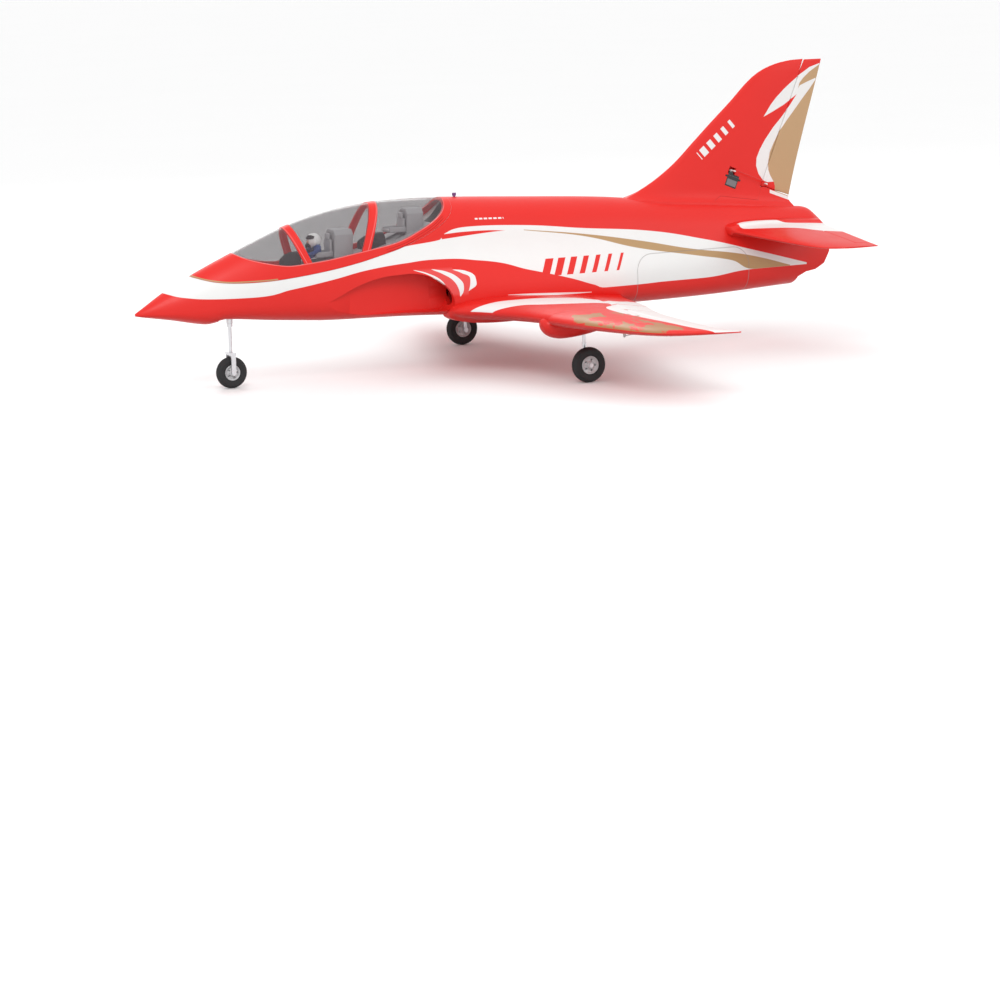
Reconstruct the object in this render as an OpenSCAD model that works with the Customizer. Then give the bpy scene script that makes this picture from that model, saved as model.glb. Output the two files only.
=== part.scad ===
// Ducted-fan model jet. Stations run aft and heights run up from the nose tip, and +Y is starboard.

/* [Stance] */
// Height of the nose tip above the ground
nose_height = 137; // [130:1:150]
// Radius of each main wheel
main_wheel_r = 30; // [27:0.5:31]
// Radius of the nose wheel
nose_wheel_r = 27; // [24:0.5:28]

/* [Shells] */
// Foam wall of the fuselage
foam_wall = 7; // [6:0.5:8]
// Thickness of the hatch shell
hatch_wall = 5; // [4:0.5:6]
// Thickness of the canopy panes
glass_wall = 1.2; // [0.8:0.1:2]
// Gap along the edge of the hatch
hatch_gap = 0.5; // [0.4:0.1:1]

/* [Flying surfaces] */
// Gap between each control surface's round nose and the wall ahead of it
cove_gap = 0.8; // [0.6:0.1:1.2]
// Gap at the ends of each control surface
end_gap = 1; // [0.6:0.1:2]
// Largest thickness of the wing at its root
root_thickness = 38; // [37:0.5:40]

/* [Fan] */
// Outer radius of the fan blades
blade_r = 39.6; // [38:0.1:39.8]
// Number of fan blades
blade_count = 12; // [6:1:12]
// Outer radius of the exhaust duct
exhaust_r = 37.5; // [36:0.1:37.8]

/* [Linkages] */
// Wire radius of each pushrod
rod_r = 0.8; // [0.7:0.05:1]
// Radial play of a rod's pin in its hole
pin_play = 0.3; // [0.3:0.05:0.4]
// Radial play of a shaft in its bore
bore_play = 0.05; // [0.02:0.01:0.1]

/* [Hidden] */

$fn = 48;
length = 1313;

red = [0.85, 0.12, 0.08];
tan_gold = [0.80, 0.62, 0.42];
white = [0.95, 0.95, 0.94];
light_grey = [0.70, 0.70, 0.72];
dark_grey = [0.20, 0.20, 0.22];
black = [0.05, 0.05, 0.06];
silver = [0.75, 0.76, 0.78];
carbon = [0.12, 0.12, 0.13];
blue = [0.15, 0.22, 0.55];
purple = [0.35, 0.20, 0.55];

// ---- Curves ----

function clamp(v, lo, hi) = max(lo, min(hi, v));
function mix(a, b, t) = a + (b - a) * t;
function slope(p, i) =
  let (a = max(i - 1, 0), b = min(i + 1, len(p) - 1))
  (p[b][1] - p[a][1]) / (p[b][0] - p[a][0]);

// Smooth curve through points [x, value], level beyond its ends
function curve(x, p) =
  x <= p[0][0] ? p[0][1] :
  x >= p[len(p) - 1][0] ? p[len(p) - 1][1] :
  let (
    i = max([for (k = [0:len(p) - 2]) if (p[k][0] <= x) k]),
    h = p[i + 1][0] - p[i][0],
    t = (x - p[i][0]) / h,
    m0 = slope(p, i) * h,
    m1 = slope(p, i + 1) * h
  )
  (2 * t * t * t - 3 * t * t + 1) * p[i][1] + (t * t * t - 2 * t * t + t) * m0
  + (3 * t * t - 2 * t * t * t) * p[i + 1][1] + (t * t * t - t * t) * m1;

function power(v, e) = sign(v) * pow(abs(v), e);

// ---- Fuselage outline along the stations: top, belly, half-width and height of the widest line ----

top_line = [[0, 1.5], [12, 9], [51, 34], [95, 57], [174, 93], [269, 132], [345, 153], [423, 164],
  [500, 166.5], [560, 164.5], [700, 157], [863, 147], [977, 135], [1081, 127], [1179, 117], [1249, 108],
  [1279, 103], [1300, 86], [1313, 72]];
belly_line = [[0, -2.5], [12, -5], [60, -13], [118, -24], [136, -22], [152, -19], [240, -26], [335, -32],
  [500, -34], [650, -40], [900, -42], [1074, -40], [1235, -33], [1313, -31]];
width_line = [[0, 2.5], [12, 9], [51, 22], [95, 33], [174, 44], [235, 50], [300, 54], [380, 60], [430, 68],
  [480, 79], [530, 88], [600, 92.5], [700, 92], [780, 88], [860, 81], [960, 72], [1090, 61], [1180, 53],
  [1236, 48], [1290, 43], [1313, 41]];
middle_line = [[0, -1], [95, 4], [174, 12], [300, 22], [430, 20], [530, 8], [700, 4], [1000, 10], [1313, 12]];
// How far the flanks are drawn in above the widest line, behind the cockpit
waist_line = [[0, 0], [300, 0.02], [430, 0.08], [560, 0.17], [700, 0.18], [900, 0.12], [1100, 0.05],
  [1313, 0]];
// Squareness of the belly corners
corner_line = [[0, 2], [118, 2.6], [335, 3.2], [600, 3.6], [1000, 3], [1313, 2.4]];

function hull_ring(x, inset, count) = [
  for (k = [0:count - 1]) let (
    a = -90 + 360 * k / count,
    c = cos(a),
    s = sin(a),
    zc = curve(x, middle_line),
    w = curve(x, width_line) - inset,
    up = curve(x, top_line) - inset - zc,
    down = zc - curve(x, belly_line) - inset,
    waist = 1 - curve(x, waist_line) * pow(sin(180 * max(s, 0)), 2),
    e = s < 0 ? 2 / curve(x, corner_line) : 1
  )
  [x, w * power(c, e) * waist, zc + (s < 0 ? down : up) * power(s, e)]
];

module loft(rings) {
  n = len(rings);
  m = len(rings[0]);
  polyhedron(
    points = [for (r = rings) for (p = r) p],
    faces = concat(
      [[for (k = [0:m - 1]) k]],
      [[for (k = [m - 1:-1:0]) (n - 1) * m + k]],
      [for (i = [0:n - 2]) for (k = [0:m - 1])
        let (a = i * m + k, b = i * m + (k + 1) % m)
        each [[a, a + m, b], [b, a + m, b + m]]]
    )
  );
}

// Foam and plastic mouldings are cut as one mesh
module moulded() resize([0, 0, 0]) children();
module from_nose() translate([-length / 2, 0, nose_height]) children();
module at_side(side) {
  if (side > 0) children();
  else mirror([0, 1, 0]) children();
}
// Side-view outline [station, height] drawn across the whole width
module side_prism(outline, y0 = -150, y1 = 150)
  translate([0, y1, 0]) rotate([90, 0, 0]) linear_extrude(y1 - y0) polygon(outline);

hull_stations = concat([0.5, 4, 12, 24, 38], [for (x = [55:20:135]) x], [for (x = [160:30:1270]) x],
  [1282, 1292, 1303, 1312]);
module hull_shape(inset = 0, count = 32)
  loft([for (x = hull_stations) if (x > inset * 5) hull_ring(x, inset, count)]);

// ---- Hatch and canopy lines in side view ----

hatch_line = [[93, 59], [130, 48.5], [171, 44.5], [225, 45], [280, 50], [338, 58], [385, 67], [420, 76],
  [458, 87], [503, 105], [540, 126], [560, 146], [567, 170]];
rim_line = [[168, 95], [185, 86], [202, 80], [238, 71.5], [264, 68.5], [291, 70.5], [333, 75], [375, 82],
  [407, 87.5], [453, 97], [494, 114], [528, 133], [546, 149], [556, 168]];
sky = 230;

function line_points(line, step, lift = 0) =
  let (x0 = line[0][0], x1 = line[len(line) - 1][0], n = ceil((x1 - x0) / step))
  [for (i = [0:n]) let (x = x0 + (x1 - x0) * i / n) [x, curve(x, line) + lift]];

module above(line, lift = 0, step = 12)
  side_prism(concat(line_points(line, step, lift), [[line[len(line) - 1][0], sky], [line[0][0], sky]]));

// A bow leans along the side view from its foot to its crown
bow_w = 14;
front_bow = [[300, 66], [262, 150]];
rear_bow = [[391, 80], [434, 185]];
module bow(b, w) side_prism([
  [b[0][0] - w / 2, b[0][1] - 12], [b[0][0] + w / 2, b[0][1] - 12],
  [b[1][0] + w / 2, b[1][1]], [b[1][0] - w / 2, b[1][1]]
]);

// ---- Fuselage ----

duct_z = 9;
fan_x = 812;
fan_r = 42;
mouth_x = 548;
mouth_y = 62;
mouth_z = 6;

cavity_half = [[62, 17], [174, 35], [300, 45], [345, 44], [400, 41], [540, 41], [572, 78], [600, 84],
  [760, 82], [860, 73], [960, 64], [1090, 53], [1180, 45], [1216, 40]];
cavity_floor = [[62, 6], [120, 37], [334, 37], [352, -25], [770, -25], [795, -35], [1100, -34], [1216, -30]];
module cavity() loft([
  for (x = [62, 90, 120, 150, 200, 250, 300, 334, 352, 380, 420, 460, 500, 540, 572, 600, 680, 770, 795,
    860, 960, 1080, 1160, 1216])
    let (
      lo = curve(x, cavity_floor),
      hi = curve(x, top_line) - foam_wall,
      zc = clamp(curve(x, middle_line), lo + 4, hi),
      w = curve(x, cavity_half)
    )
    [for (k = [0:19])
      let (a = -90 + 18 * k, s = sin(a), e = s < 0 ? 0.6 : 1, waist = 1 - 0.22 * pow(sin(180 * max(s, 0)), 2))
      [x, w * power(cos(a), e) * waist, zc + (s < 0 ? zc - lo : hi - zc) * power(s, e)]]
]);

// The scoop ahead of each intake: its wall runs in from the flank, its mouth is a quarter ellipse
scoop_wall = [[300, 62], [330, 54], [380, 49], [440, 46.5], [500, 46], [560, 46]];
scoop_roof = [[300, -8], [340, 10], [380, 29], [420, 40], [464, 44]];
scoop_floor = -24;
lip_x = 464;
lip_z = -12;
function scoop_outline() = concat(
  [for (x = [300:20:460]) [x, curve(x, scoop_roof)]],
  [for (a = [0:10:90]) [lip_x + 78 * sin(a), lip_z + 56 * cos(a)]],
  [[538, -19], [530, scoop_floor], [300, scoop_floor]]
);
module scoop() intersection() {
  side_prism(scoop_outline(), 0, 140);
  translate([0, 0, -60]) linear_extrude(140) polygon(concat(
    [for (x = [300:20:560]) [x, curve(x, scoop_wall)]], [[560, 140], [300, 140]]));
}

function duct_ring(t, wall) =
  let (
    x = mix(mouth_x, fan_x - 14, t),
    y = mix(mouth_y, 20.6, t * t * (3 - 2 * t)),
    z = mix(mouth_z, duct_z, t),
    ry = mix(17, 19.8, t) - wall,
    rz = mix(21, 39, pow(t, 4)) - wall
  )
  [for (k = [0:19]) [x, y + ry * cos(18 * k), z + rz * sin(18 * k)]];

tail_cut = [[1235, -60], [1235, -33], [1240, -17], [1255, -9], [1275, -6], [1293, 4], [1305, 25], [1309, 48],
  [1311, 75], [1311, 120], [1345, 120], [1345, -60]];
gear_bay = [[138, 318], [-27, 27], [-60, 33]];

module block(b) translate([b[0][0], b[1][0], b[2][0]])
  cube([b[0][1] - b[0][0], b[1][1] - b[1][0], b[2][1] - b[2][0]]);

module fuselage() color(red) from_nose() difference() {
  union() {
    hull_shape();
    for (side = [-1, 1]) at_side(side) wing_body(60, 93, 6);
  }
  cavity();
  above(hatch_line);
  block(gear_bay);
  for (side = [-1, 1]) at_side(side) {
    scoop();
    // Throat from the mouth into the body
    loft([for (x = [512, 530, 548, 590]) [for (k = [0:23])
      [x, mouth_y + 18 * cos(15 * k), mouth_z + 22 * sin(15 * k)]]]);
  }
  joiner_holes(0.15);
  translate([1150, 0, duct_z]) rotate([0, 90, 0]) cylinder(r = exhaust_r + 0.2, h = 200);
  side_prism(tail_cut);
  // Slot for the latch stem
  translate([575, -2.4, 140]) cube([23, 4.8, 40]);
  // Room for the tongue of the latch
  translate([569, -6, 140]) cube([29, 12, 15.2]);
}

module intake_ducts() color(dark_grey) from_nose() for (side = [-1, 1]) at_side(side) moulded() difference() {
  loft([for (i = [0:8]) duct_ring(i / 8, 0)]);
  loft([for (i = [-1:9]) duct_ring(i / 8, 1)]);
}

module along_x(x, y, z)
  translate([x, y, z]) rotate([0, 90, 0]) children();
module along_y(x, y, z)
  translate([x, y, z]) rotate([-90, 0, 0]) children();
module ring_x(x, y, z, r, bore, h) along_x(x, y, z) difference() {
  cylinder(r = r, h = h);
  translate([0, 0, -1]) cylinder(r = bore, h = h + 2);
}

// ---- Fan ----

motor_r = 14;
motor_hub_r = 16.5;
module fan_housing() color(black) from_nose() {
  ring_x(fan_x, 0, duct_z, fan_r, 40.4, 72);
  ring_x(fan_x + 34, 0, duct_z, motor_hub_r, motor_r + 0.1, 36);
  for (i = [0:4]) along_x(fan_x + 44, 0, duct_z) rotate([0, 0, 72 * i])
    translate([motor_hub_r - 0.5, -1, 0]) cube([24.6, 2, 24]);
}

module fan_motor() color(silver) from_nose() {
  along_x(fan_x + 36, 0, duct_z) difference() {
    cylinder(r = motor_r, h = 46);
    translate([0, 0, -1]) cylinder(r = 2.5 + bore_play, h = 20);
  }
  along_x(fan_x + 82, 0, duct_z) cylinder(r1 = motor_r, r2 = 5, h = 26);
}

module fan_rotor() color(dark_grey) from_nose() {
  along_x(fan_x + 8, 0, duct_z) cylinder(r = 16, h = 22);
  along_x(fan_x + 28, 0, duct_z) cylinder(r = 2.5, h = 20);
  // Spinner
  translate([fan_x + 8, 0, duct_z]) rotate([0, -90, 0]) rotate_extrude()
    polygon(concat([[0, 0]], [for (a = [0:10:90]) [16 * cos(a), 20 * sin(a)]]));
  intersection() {
    along_x(fan_x + 6, 0, duct_z) cylinder(r = blade_r, h = 26);
    for (i = [0:blade_count - 1]) along_x(fan_x + 19, 0, duct_z) rotate([0, 0, 360 / blade_count * i])
      translate([15, 0, 0]) rotate([38, 0, 0]) translate([0, -11, -0.7]) cube([30, 22, 1.4]);
  }
}

module exhaust_duct() color(dark_grey) from_nose() difference() {
  union() {
    along_x(fan_x + 73, 0, duct_z) cylinder(r1 = 41.5, r2 = exhaust_r, h = 60);
    along_x(fan_x + 133, 0, duct_z) cylinder(r = exhaust_r, h = 1234 - fan_x - 133);
  }
  along_x(fan_x + 72, 0, duct_z) cylinder(r1 = 40.1, r2 = exhaust_r - 1.4, h = 61);
  along_x(fan_x + 132.9, 0, duct_z) cylinder(r = exhaust_r - 1.4, h = 300);
}

// ---- Equipment ----

module battery_tray() color([0.78, 0.62, 0.42]) from_nose() difference() {
  translate([356, -21.5, -23.3]) cube([158, 43, 2.6]);
  for (x = [385, 470], y = [-19, 13]) translate([x, y, -26]) cube([14, 6, 6]);
}
module battery() color(blue) from_nose() {
  translate([360, -23, -20.6]) cube([140, 46, 44]);
  // Leads out of the front end of the pack
  for (y = [-6, 6]) along_x(352, y, 12) cylinder(r = 2.2, h = 8);
}
module speed_controller() color(dark_grey) from_nose() {
  translate([600, -14, 60]) cube([62, 28, 12]);
  // Cooling fins
  for (i = [0:6]) translate([606 + 8 * i, -12, 72]) cube([2, 24, 6]);
}
module receiver() color(black) from_nose() {
  translate([520, -17, -23.2]) cube([22, 34, 14]);
  for (i = [0:6]) translate([517, -15 + 4.4 * i, -21]) cube([3, 3, 8]);
}

// ---- Hatch ----

module hatch_part(inset) intersection() {
  hull_shape(inset, 40);
  above(hatch_line, hatch_gap);
}
module pane_zone() difference() {
  above(rim_line);
  bow(front_bow, bow_w);
  bow(rear_bow, bow_w);
}
module hatch_frame() color(red) from_nose() moulded() difference() {
  hatch_part(0);
  hull_shape(hatch_wall, 40);
  pane_zone();
}
module canopy_glass() color([0.45, 0.45, 0.48, 0.5]) from_nose() moulded() difference() {
  intersection() {
    hull_shape(0.6, 40);
    above(rim_line, 0.2);
  }
  hull_shape(0.6 + glass_wall, 40);
  bow(front_bow, bow_w + 0.4);
  bow(rear_bow, bow_w + 0.4);
}

tub_line = [[196, 66], [238, 62], [264, 61], [291, 62], [333, 66], [375, 72], [407, 77.5], [453, 90.5],
  [494, 107], [524, 124.5]];
module cockpit_tub() color(light_grey) from_nose() moulded() intersection() {
  hull_shape(hatch_wall + 1, 32);
  side_prism(concat(line_points(tub_line, 24), [for (i = [13:-1:0])
    let (x = mix(196, 524, i / 13)) [x, curve(x, tub_line) - 3]]));
}

module seat(x, z, h) {
  translate([x, -18, z]) cube([10, 36, h]);
  translate([x - 32, -18, z]) cube([34, 36, 7]);
  for (y = [-18, 13]) translate([x - 32, y, z + 6]) cube([34, 5, 9]);
  translate([x - 3, -10, z + h - 16]) cube([5, 20, 14]);
}
module seats() color(light_grey) from_nose() {
  seat(350, 75, 50);
  seat(486, 108.6, 42);
}
module instrument_panels() color(black) from_nose() {
  translate([262, -19, 65]) cube([30, 38, 14]);
  along_y(277, -19, 78) cylinder(r = 11, h = 38);
  translate([404, -17, 92]) cube([44, 34, 22]);
}
module pilot() from_nose() translate([323, 0, 82.4]) {
  color(blue) {
    cylinder(r1 = 12, r2 = 9, h = 14);
    translate([0, -13.5, 13]) rotate([-90, 0, 0]) cylinder(r = 4.5, h = 27);
  }
  color(white) translate([0, 0, 21]) sphere(r = 10.5);
}
module hatch_latch() color(purple) from_nose() {
  translate([583, 0, 150]) cylinder(r = 1.9, h = 16);
  translate([583, 0, 165]) cylinder(r = 3.6, h = 5);
  translate([571, -4, 149]) cube([16, 8, 4]);
}

// ---- Aerofoil lofts ----

function half_thickness(u) =
  5 * (0.2969 * sqrt(u) - 0.1260 * u - 0.3516 * u * u + 0.2843 * pow(u, 3) - 0.1036 * pow(u, 4));
profile_steps = 12;
trailing_edge = 0.6;
// Closed aerofoil outline: [chordwise, thickness-wise]
function skin_point(lead, trail, t, u, face) =
  [mix(lead, trail, u), face * (t * half_thickness(u) + trailing_edge * u)];
function profile(lead, trail, t) =
  let (along = [for (k = [0:profile_steps]) (1 - cos(180 * k / profile_steps)) / 2])
  concat(
    [for (k = [profile_steps:-1:0]) skin_point(lead, trail, t, along[k], 1)],
    [for (k = [1:profile_steps]) skin_point(lead, trail, t, along[k], -1)]
  );

wing_z = -24;
wing_lead = [[60, 531], [93, 540], [130, 573], [190, 606], [250, 624], [286, 634]];
wing_lead_outer = [[290, 624], [370, 645], [460, 672], [510, 690], [540, 712], [563, 750], [580, 790],
  [590, 822]];
wing_trail = [[60, 867], [93, 862], [130, 856], [210, 844], [270, 828], [330, 817], [410, 812], [490, 810],
  [530, 811], [560, 816], [590, 826]];
wing_thick = [[60, root_thickness], [93, root_thickness], [190, 35], [290, 30], [370, 25], [460, 20],
  [530, 13], [563, 8], [590, 2.4]];
function lead_at(y) = y < 288 ? curve(y, wing_lead) : curve(y, wing_lead_outer);
function wing_ring(y) = [for (p = profile(lead_at(y), curve(y, wing_trail), curve(y, wing_thick)))
  [p[0], y, wing_z - p[1]]];
module wing_loft(ys) loft([for (y = ys) wing_ring(y)]);
module wing_body(y0, y1, steps) wing_loft([for (i = [0:steps]) mix(y0, y1, i / steps)]);

wing_rings = [93.2, 105, 118, 135, 160, 190, 220, 250, 270, 286, 290, 330, 370, 410, 460, 500, 525, 545,
  560, 572, 581, 587, 590];

// A hinge runs from [x, y] to [x, y] with a nose radius at each end
flap_hinge = [[792, 108], [768, 296], 8.9, 8.6];
aileron_hinge = [[768, 299], [773, 520], 8.5, 4.6];
function hinge_angle(h) = atan2(h[0][0] - h[1][0], h[1][1] - h[0][1]);
// Section of a control surface: a round nose about the hinge, then the aerofoil to the trailing edge
nose_steps = 8;
function nose_profile(hinge, r, lead, trail, t) =
  let (u0 = (hinge + 0.7 * r - lead) / (trail - lead))
  concat(
    [for (k = [0:4]) skin_point(lead, trail, t, mix(1, u0, k / 4), 1)],
    [for (k = [0:nose_steps]) let (a = mix(85, 275, k / nose_steps)) [hinge + r * cos(a), r * sin(a)]],
    [for (k = [0:4]) skin_point(lead, trail, t, mix(u0, 1, k / 4), -1)]
  );
function hinge_x(h, y) = mix(h[0][0], h[1][0], (y - h[0][1]) / (h[1][1] - h[0][1]));
function hinge_r(h, y) = mix(h[2], h[3], (y - h[0][1]) / (h[1][1] - h[0][1]));
// Everything behind the flat wall that faces the nose
module behind_hinge(h, aft = 900)
  translate([0, 0, -100]) linear_extrude(150) polygon([
    [h[0][0] - h[2] - cove_gap, h[0][1]], [h[1][0] - h[3] - cove_gap, h[1][1]],
    [aft, h[1][1]], [aft, h[0][1]]
  ]);
function surface_ends(h, inner) = concat([h[0][1] + end_gap], inner, [h[1][1] - end_gap]);

// Pod under the leading edge around the main gear
pod_y = 262;
pod_lines = [[622, 626, 634, 646, 662, 690, 715, 740, 762, 778],
  [4, 12, 18, 21.5, 23.5, 24, 22, 18, 11, 3],
  [-36, -45, -53, -58, -60, -58, -54, -48, -43, -39],
  [-29, -25, -22, -20, -19, -19, -20, -22, -25, -30]];
module pod() loft([for (i = [0:9])
  let (half = pod_lines[1][i], lo = pod_lines[2][i], hi = pod_lines[3][i])
  [for (a = [-90:18:252]) [pod_lines[0][i], pod_y + half * cos(a), mix(lo, hi, (1 + sin(a)) / 2)]]]);

// ---- Main gear places ----

gear_x = 706;
pivot_y = 255;
pivot_z = -17;
wheel_y = 271;
axle_z = main_wheel_r - nose_height;
wheel_half_w = 9;
stowed_y = pivot_y - (pivot_z - axle_z);

module wheel_well() {
  translate([gear_x, stowed_y, -90]) cylinder(r = main_wheel_r + 3.5, h = 69.5);
  translate([gear_x - 7, stowed_y - 8, -90]) cube([14, pivot_y + 7 - stowed_y + 8, 78.2]);
  translate([gear_x - 17, pivot_y - 10, -36]) cube([34, 40, 25.4]);
  translate([gear_x - 7, pivot_y - 20, -90]) cube([14, 27, 60]);
}

// Joiner tubes through the fuselage floor
front_joiner = [606, -31, 3.5, 150];
rear_joiner = [757, -33, 2.5, 125];
module joiner_holes(play) for (j = [front_joiner, rear_joiner])
  along_y(j[0], -j[3] - 1, j[1]) cylinder(r = j[2] + play, h = 2 * j[3] + 2);
module wing_joiners() color(carbon) from_nose() for (j = [front_joiner, rear_joiner])
  along_y(j[0], -j[3], j[1]) difference() {
    cylinder(r = j[2], h = 2 * j[3]);
    translate([0, 0, -1]) cylinder(r = j[2] - 1, h = 2 * j[3] + 2);
  }

// ---- Servos and linkages ----
// Own frame: Z along the hinge, X towards the surface, the arm points to -Y, and the hinge is at the origin.
// Each is [distance ahead of the hinge, outward shift, arm length]

rudder_link = [71, 3, 14];
elevator_link = [78, 1.5, 13];
aileron_link = [60, 5, 15];
flap_link = [45, 9, 16];

module servo_body() difference() {
  union() {
    translate([-6, -6, -28.5]) cube([23, 12, 22.5]);
    translate([-10.5, -6, -13]) cube([32, 12, 2.5]);
    translate([0, 0, -6.5]) cylinder(r = 5.8, h = 4);
  }
  translate([0, 0, -9]) cylinder(r = 2.3 + bore_play, h = 10);
  for (x = [-8.5, 19.5]) translate([x, 0, -14]) cylinder(r = 1.1, h = 5);
}
module servo_pocket() {
  translate([-6.4, -30, -28.9]) cube([23.8, 36.4, 23.3]);
  translate([-11, -30, -13.5]) cube([33, 36.4, 3.5]);
  translate([-8, -30, -6]) cube([14.6, 36.4, 12]);
}
module servo_arm(len) difference() {
  union() {
    translate([0, 0, -8.5]) cylinder(r = 2.3, h = 9.5);
    translate([0, 0, -1]) linear_extrude(2) {
      circle(r = 3.6);
      translate([0, -len]) circle(r = 2.2);
      polygon([[-3.4, 0], [3.4, 0], [2.1, -len], [-2.1, -len]]);
    }
  }
  translate([0, -len, -2]) cylinder(r = rod_r - 0.1 + pin_play, h = 4);
}
module at_servo(l) translate([-l[0], -l[1], 0]) children();
module pushrod(l) {
  reach = norm([l[0], l[1]]);
  tilt = atan2(l[1], l[0]);
  translate([-l[0], -l[1] - l[2], 0]) rotate([0, 0, tilt]) {
    translate([0, 0, 2.3]) rotate([0, 90, 0]) cylinder(r = rod_r, h = reach);
    for (x = [0, reach]) translate([x, 0, -2.3]) cylinder(r = rod_r - 0.1, h = 4.6);
    // Clevis barrel and keeper at the surface end
    translate([reach - 13, 0, 2.3]) rotate([0, 90, 0]) cylinder(r = 1.1, h = 9);
    translate([reach - 4, -1.8, 1.4]) cube([6, 3.6, 2]);
  }
}
module horn(l, skin) translate([0, 0, -1]) linear_extrude(2) {
  translate([0, -l[2]]) circle(r = 2.4, $fn = 24);
  polygon([[-2.3, -l[2]], [2.3, -l[2]], [11, -skin + 3.5], [1, -skin + 3]]);
}
module horn_bore(l) translate([0, -l[2], -2]) cylinder(r = rod_r - 0.1 + pin_play, h = 4);

// ---- Wings ----

// Frame of a wing linkage, on the hinge at the spanwise place y
module at_wing_link(h, y) translate([hinge_x(h, y), y, wing_z]) rotate([0, 0, hinge_angle(h)])
  rotate([90, 0, 0]) children();
flap_arm_y = 209;
aileron_arm_y = 400;

module wing(side) color(red) from_nose() at_side(side) difference() {
  union() {
    wing_loft(wing_rings);
    pod();
  }
  wheel_well();
  joiner_holes(0.15);
  for (h = [flap_hinge, aileron_hinge]) behind_hinge(h);
  at_wing_link(flap_hinge, flap_arm_y) at_servo(flap_link) servo_pocket();
  at_wing_link(aileron_hinge, aileron_arm_y) at_servo(aileron_link) servo_pocket();
}
module wing_left() wing(-1);
module wing_right() wing(1);

module wing_surface(h, inner, link, arm_y, side) color(red) from_nose() at_side(side) difference() {
  moulded() {
    loft([for (y = surface_ends(h, inner)) [for (p = nose_profile(hinge_x(h, y), hinge_r(h, y), lead_at(y),
      curve(y, wing_trail), curve(y, wing_thick))) [p[0], y, wing_z - p[1]]]]);
    at_wing_link(h, arm_y) horn(link, 8);
  }
  at_wing_link(h, arm_y) horn_bore(link);
}
flap_inner = [135, 160, 190, 220, 250, 270];
aileron_inner = [330, 370, 410, 460, 500];
module flap_left() wing_surface(flap_hinge, flap_inner, flap_link, flap_arm_y, -1);
module flap_right() wing_surface(flap_hinge, flap_inner, flap_link, flap_arm_y, 1);
module aileron_left() wing_surface(aileron_hinge, aileron_inner, aileron_link, aileron_arm_y, -1);
module aileron_right() wing_surface(aileron_hinge, aileron_inner, aileron_link, aileron_arm_y, 1);

module wing_servos() color(black) from_nose() for (side = [-1, 1]) at_side(side) {
  at_wing_link(flap_hinge, flap_arm_y) at_servo(flap_link) servo_body();
  at_wing_link(aileron_hinge, aileron_arm_y) at_servo(aileron_link) servo_body();
}
module wing_arm(h, y, link, side) color(white) from_nose() at_side(side)
  at_wing_link(h, y) at_servo(link) servo_arm(link[2]);
module wing_rod(h, y, link, side) color(silver) from_nose() at_side(side) at_wing_link(h, y) pushrod(link);
module flap_arm_left() wing_arm(flap_hinge, flap_arm_y, flap_link, -1);
module flap_arm_right() wing_arm(flap_hinge, flap_arm_y, flap_link, 1);
module aileron_arm_left() wing_arm(aileron_hinge, aileron_arm_y, aileron_link, -1);
module aileron_arm_right() wing_arm(aileron_hinge, aileron_arm_y, aileron_link, 1);
module flap_pushrod_left() wing_rod(flap_hinge, flap_arm_y, flap_link, -1);
module flap_pushrod_right() wing_rod(flap_hinge, flap_arm_y, flap_link, 1);
module aileron_pushrod_left() wing_rod(aileron_hinge, aileron_arm_y, aileron_link, -1);
module aileron_pushrod_right() wing_rod(aileron_hinge, aileron_arm_y, aileron_link, 1);

// ---- Fin and rudder ----

fin_lead = [[108, 868], [130, 888], [142, 912], [151, 936], [171, 973], [198, 1011], [232, 1048], [267, 1086],
  [301, 1124], [338, 1163], [355, 1189], [366, 1220], [371, 1250], [372, 1272]];
fin_trail = [[108, 1252], [124, 1243], [372, 1313]];
fin_thick = [[108, 30], [130, 26], [151, 22], [200, 18], [300, 13], [350, 9], [366, 5], [372, 2]];
fin_rings = [108, 118, 130, 140, 151, 171, 198, 232, 267, 301, 338, 352, 362, 368, 371, 372];
rudder_foot = [1179, 124];
rudder_lean = 22;
rudder_low = 146;
rudder_high = 371;
rudder_nose = [[146, 5.1], [350, 2.9], [362, 1.9], [371, 1.3]];
module fin_loft() loft([for (z = fin_rings) [for (p = profile(curve(z, fin_lead), curve(z, fin_trail),
  curve(z, fin_thick))) [p[0], p[1], z]]]);
function rudder_x(z) = rudder_foot[0] + (z - rudder_foot[1]) * tan(rudder_lean);
// Side view of the room for the rudder, whose foot slants down aft
foot_slant = -0.37;
module rudder_room() side_prism([
  [rudder_x(rudder_low) - 5.1 - cove_gap, rudder_low],
  [rudder_x(rudder_high) - 2.6 - cove_gap, rudder_high + 4],
  [1340, rudder_high + 4], [1340, rudder_low + foot_slant * (1340 - rudder_x(rudder_low))],
  [rudder_x(rudder_low) + 4, rudder_low]]);
// Rings follow the slant of the foot and level out towards the top
rudder_rings = [rudder_low + end_gap, 160, 190, 220, 250, 280, 310, 335, 352, 362, rudder_high];
module rudder_loft() loft([for (z = rudder_rings)
  let (tilt = foot_slant * pow((rudder_high - z) / (rudder_high - rudder_low), 2), x0 = rudder_x(z))
  [for (p = nose_profile(x0, curve(z, rudder_nose), curve(z, fin_lead), curve(z + tilt * 50, fin_trail),
    curve(z, fin_thick))) [p[0], p[1], z + tilt * max(0, p[0] - x0 - 4)]]]);
rudder_link_z = 152;
module at_rudder_link()
  translate([rudder_x(rudder_link_z), 0, rudder_link_z]) rotate([0, rudder_lean, 0]) children();

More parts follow.
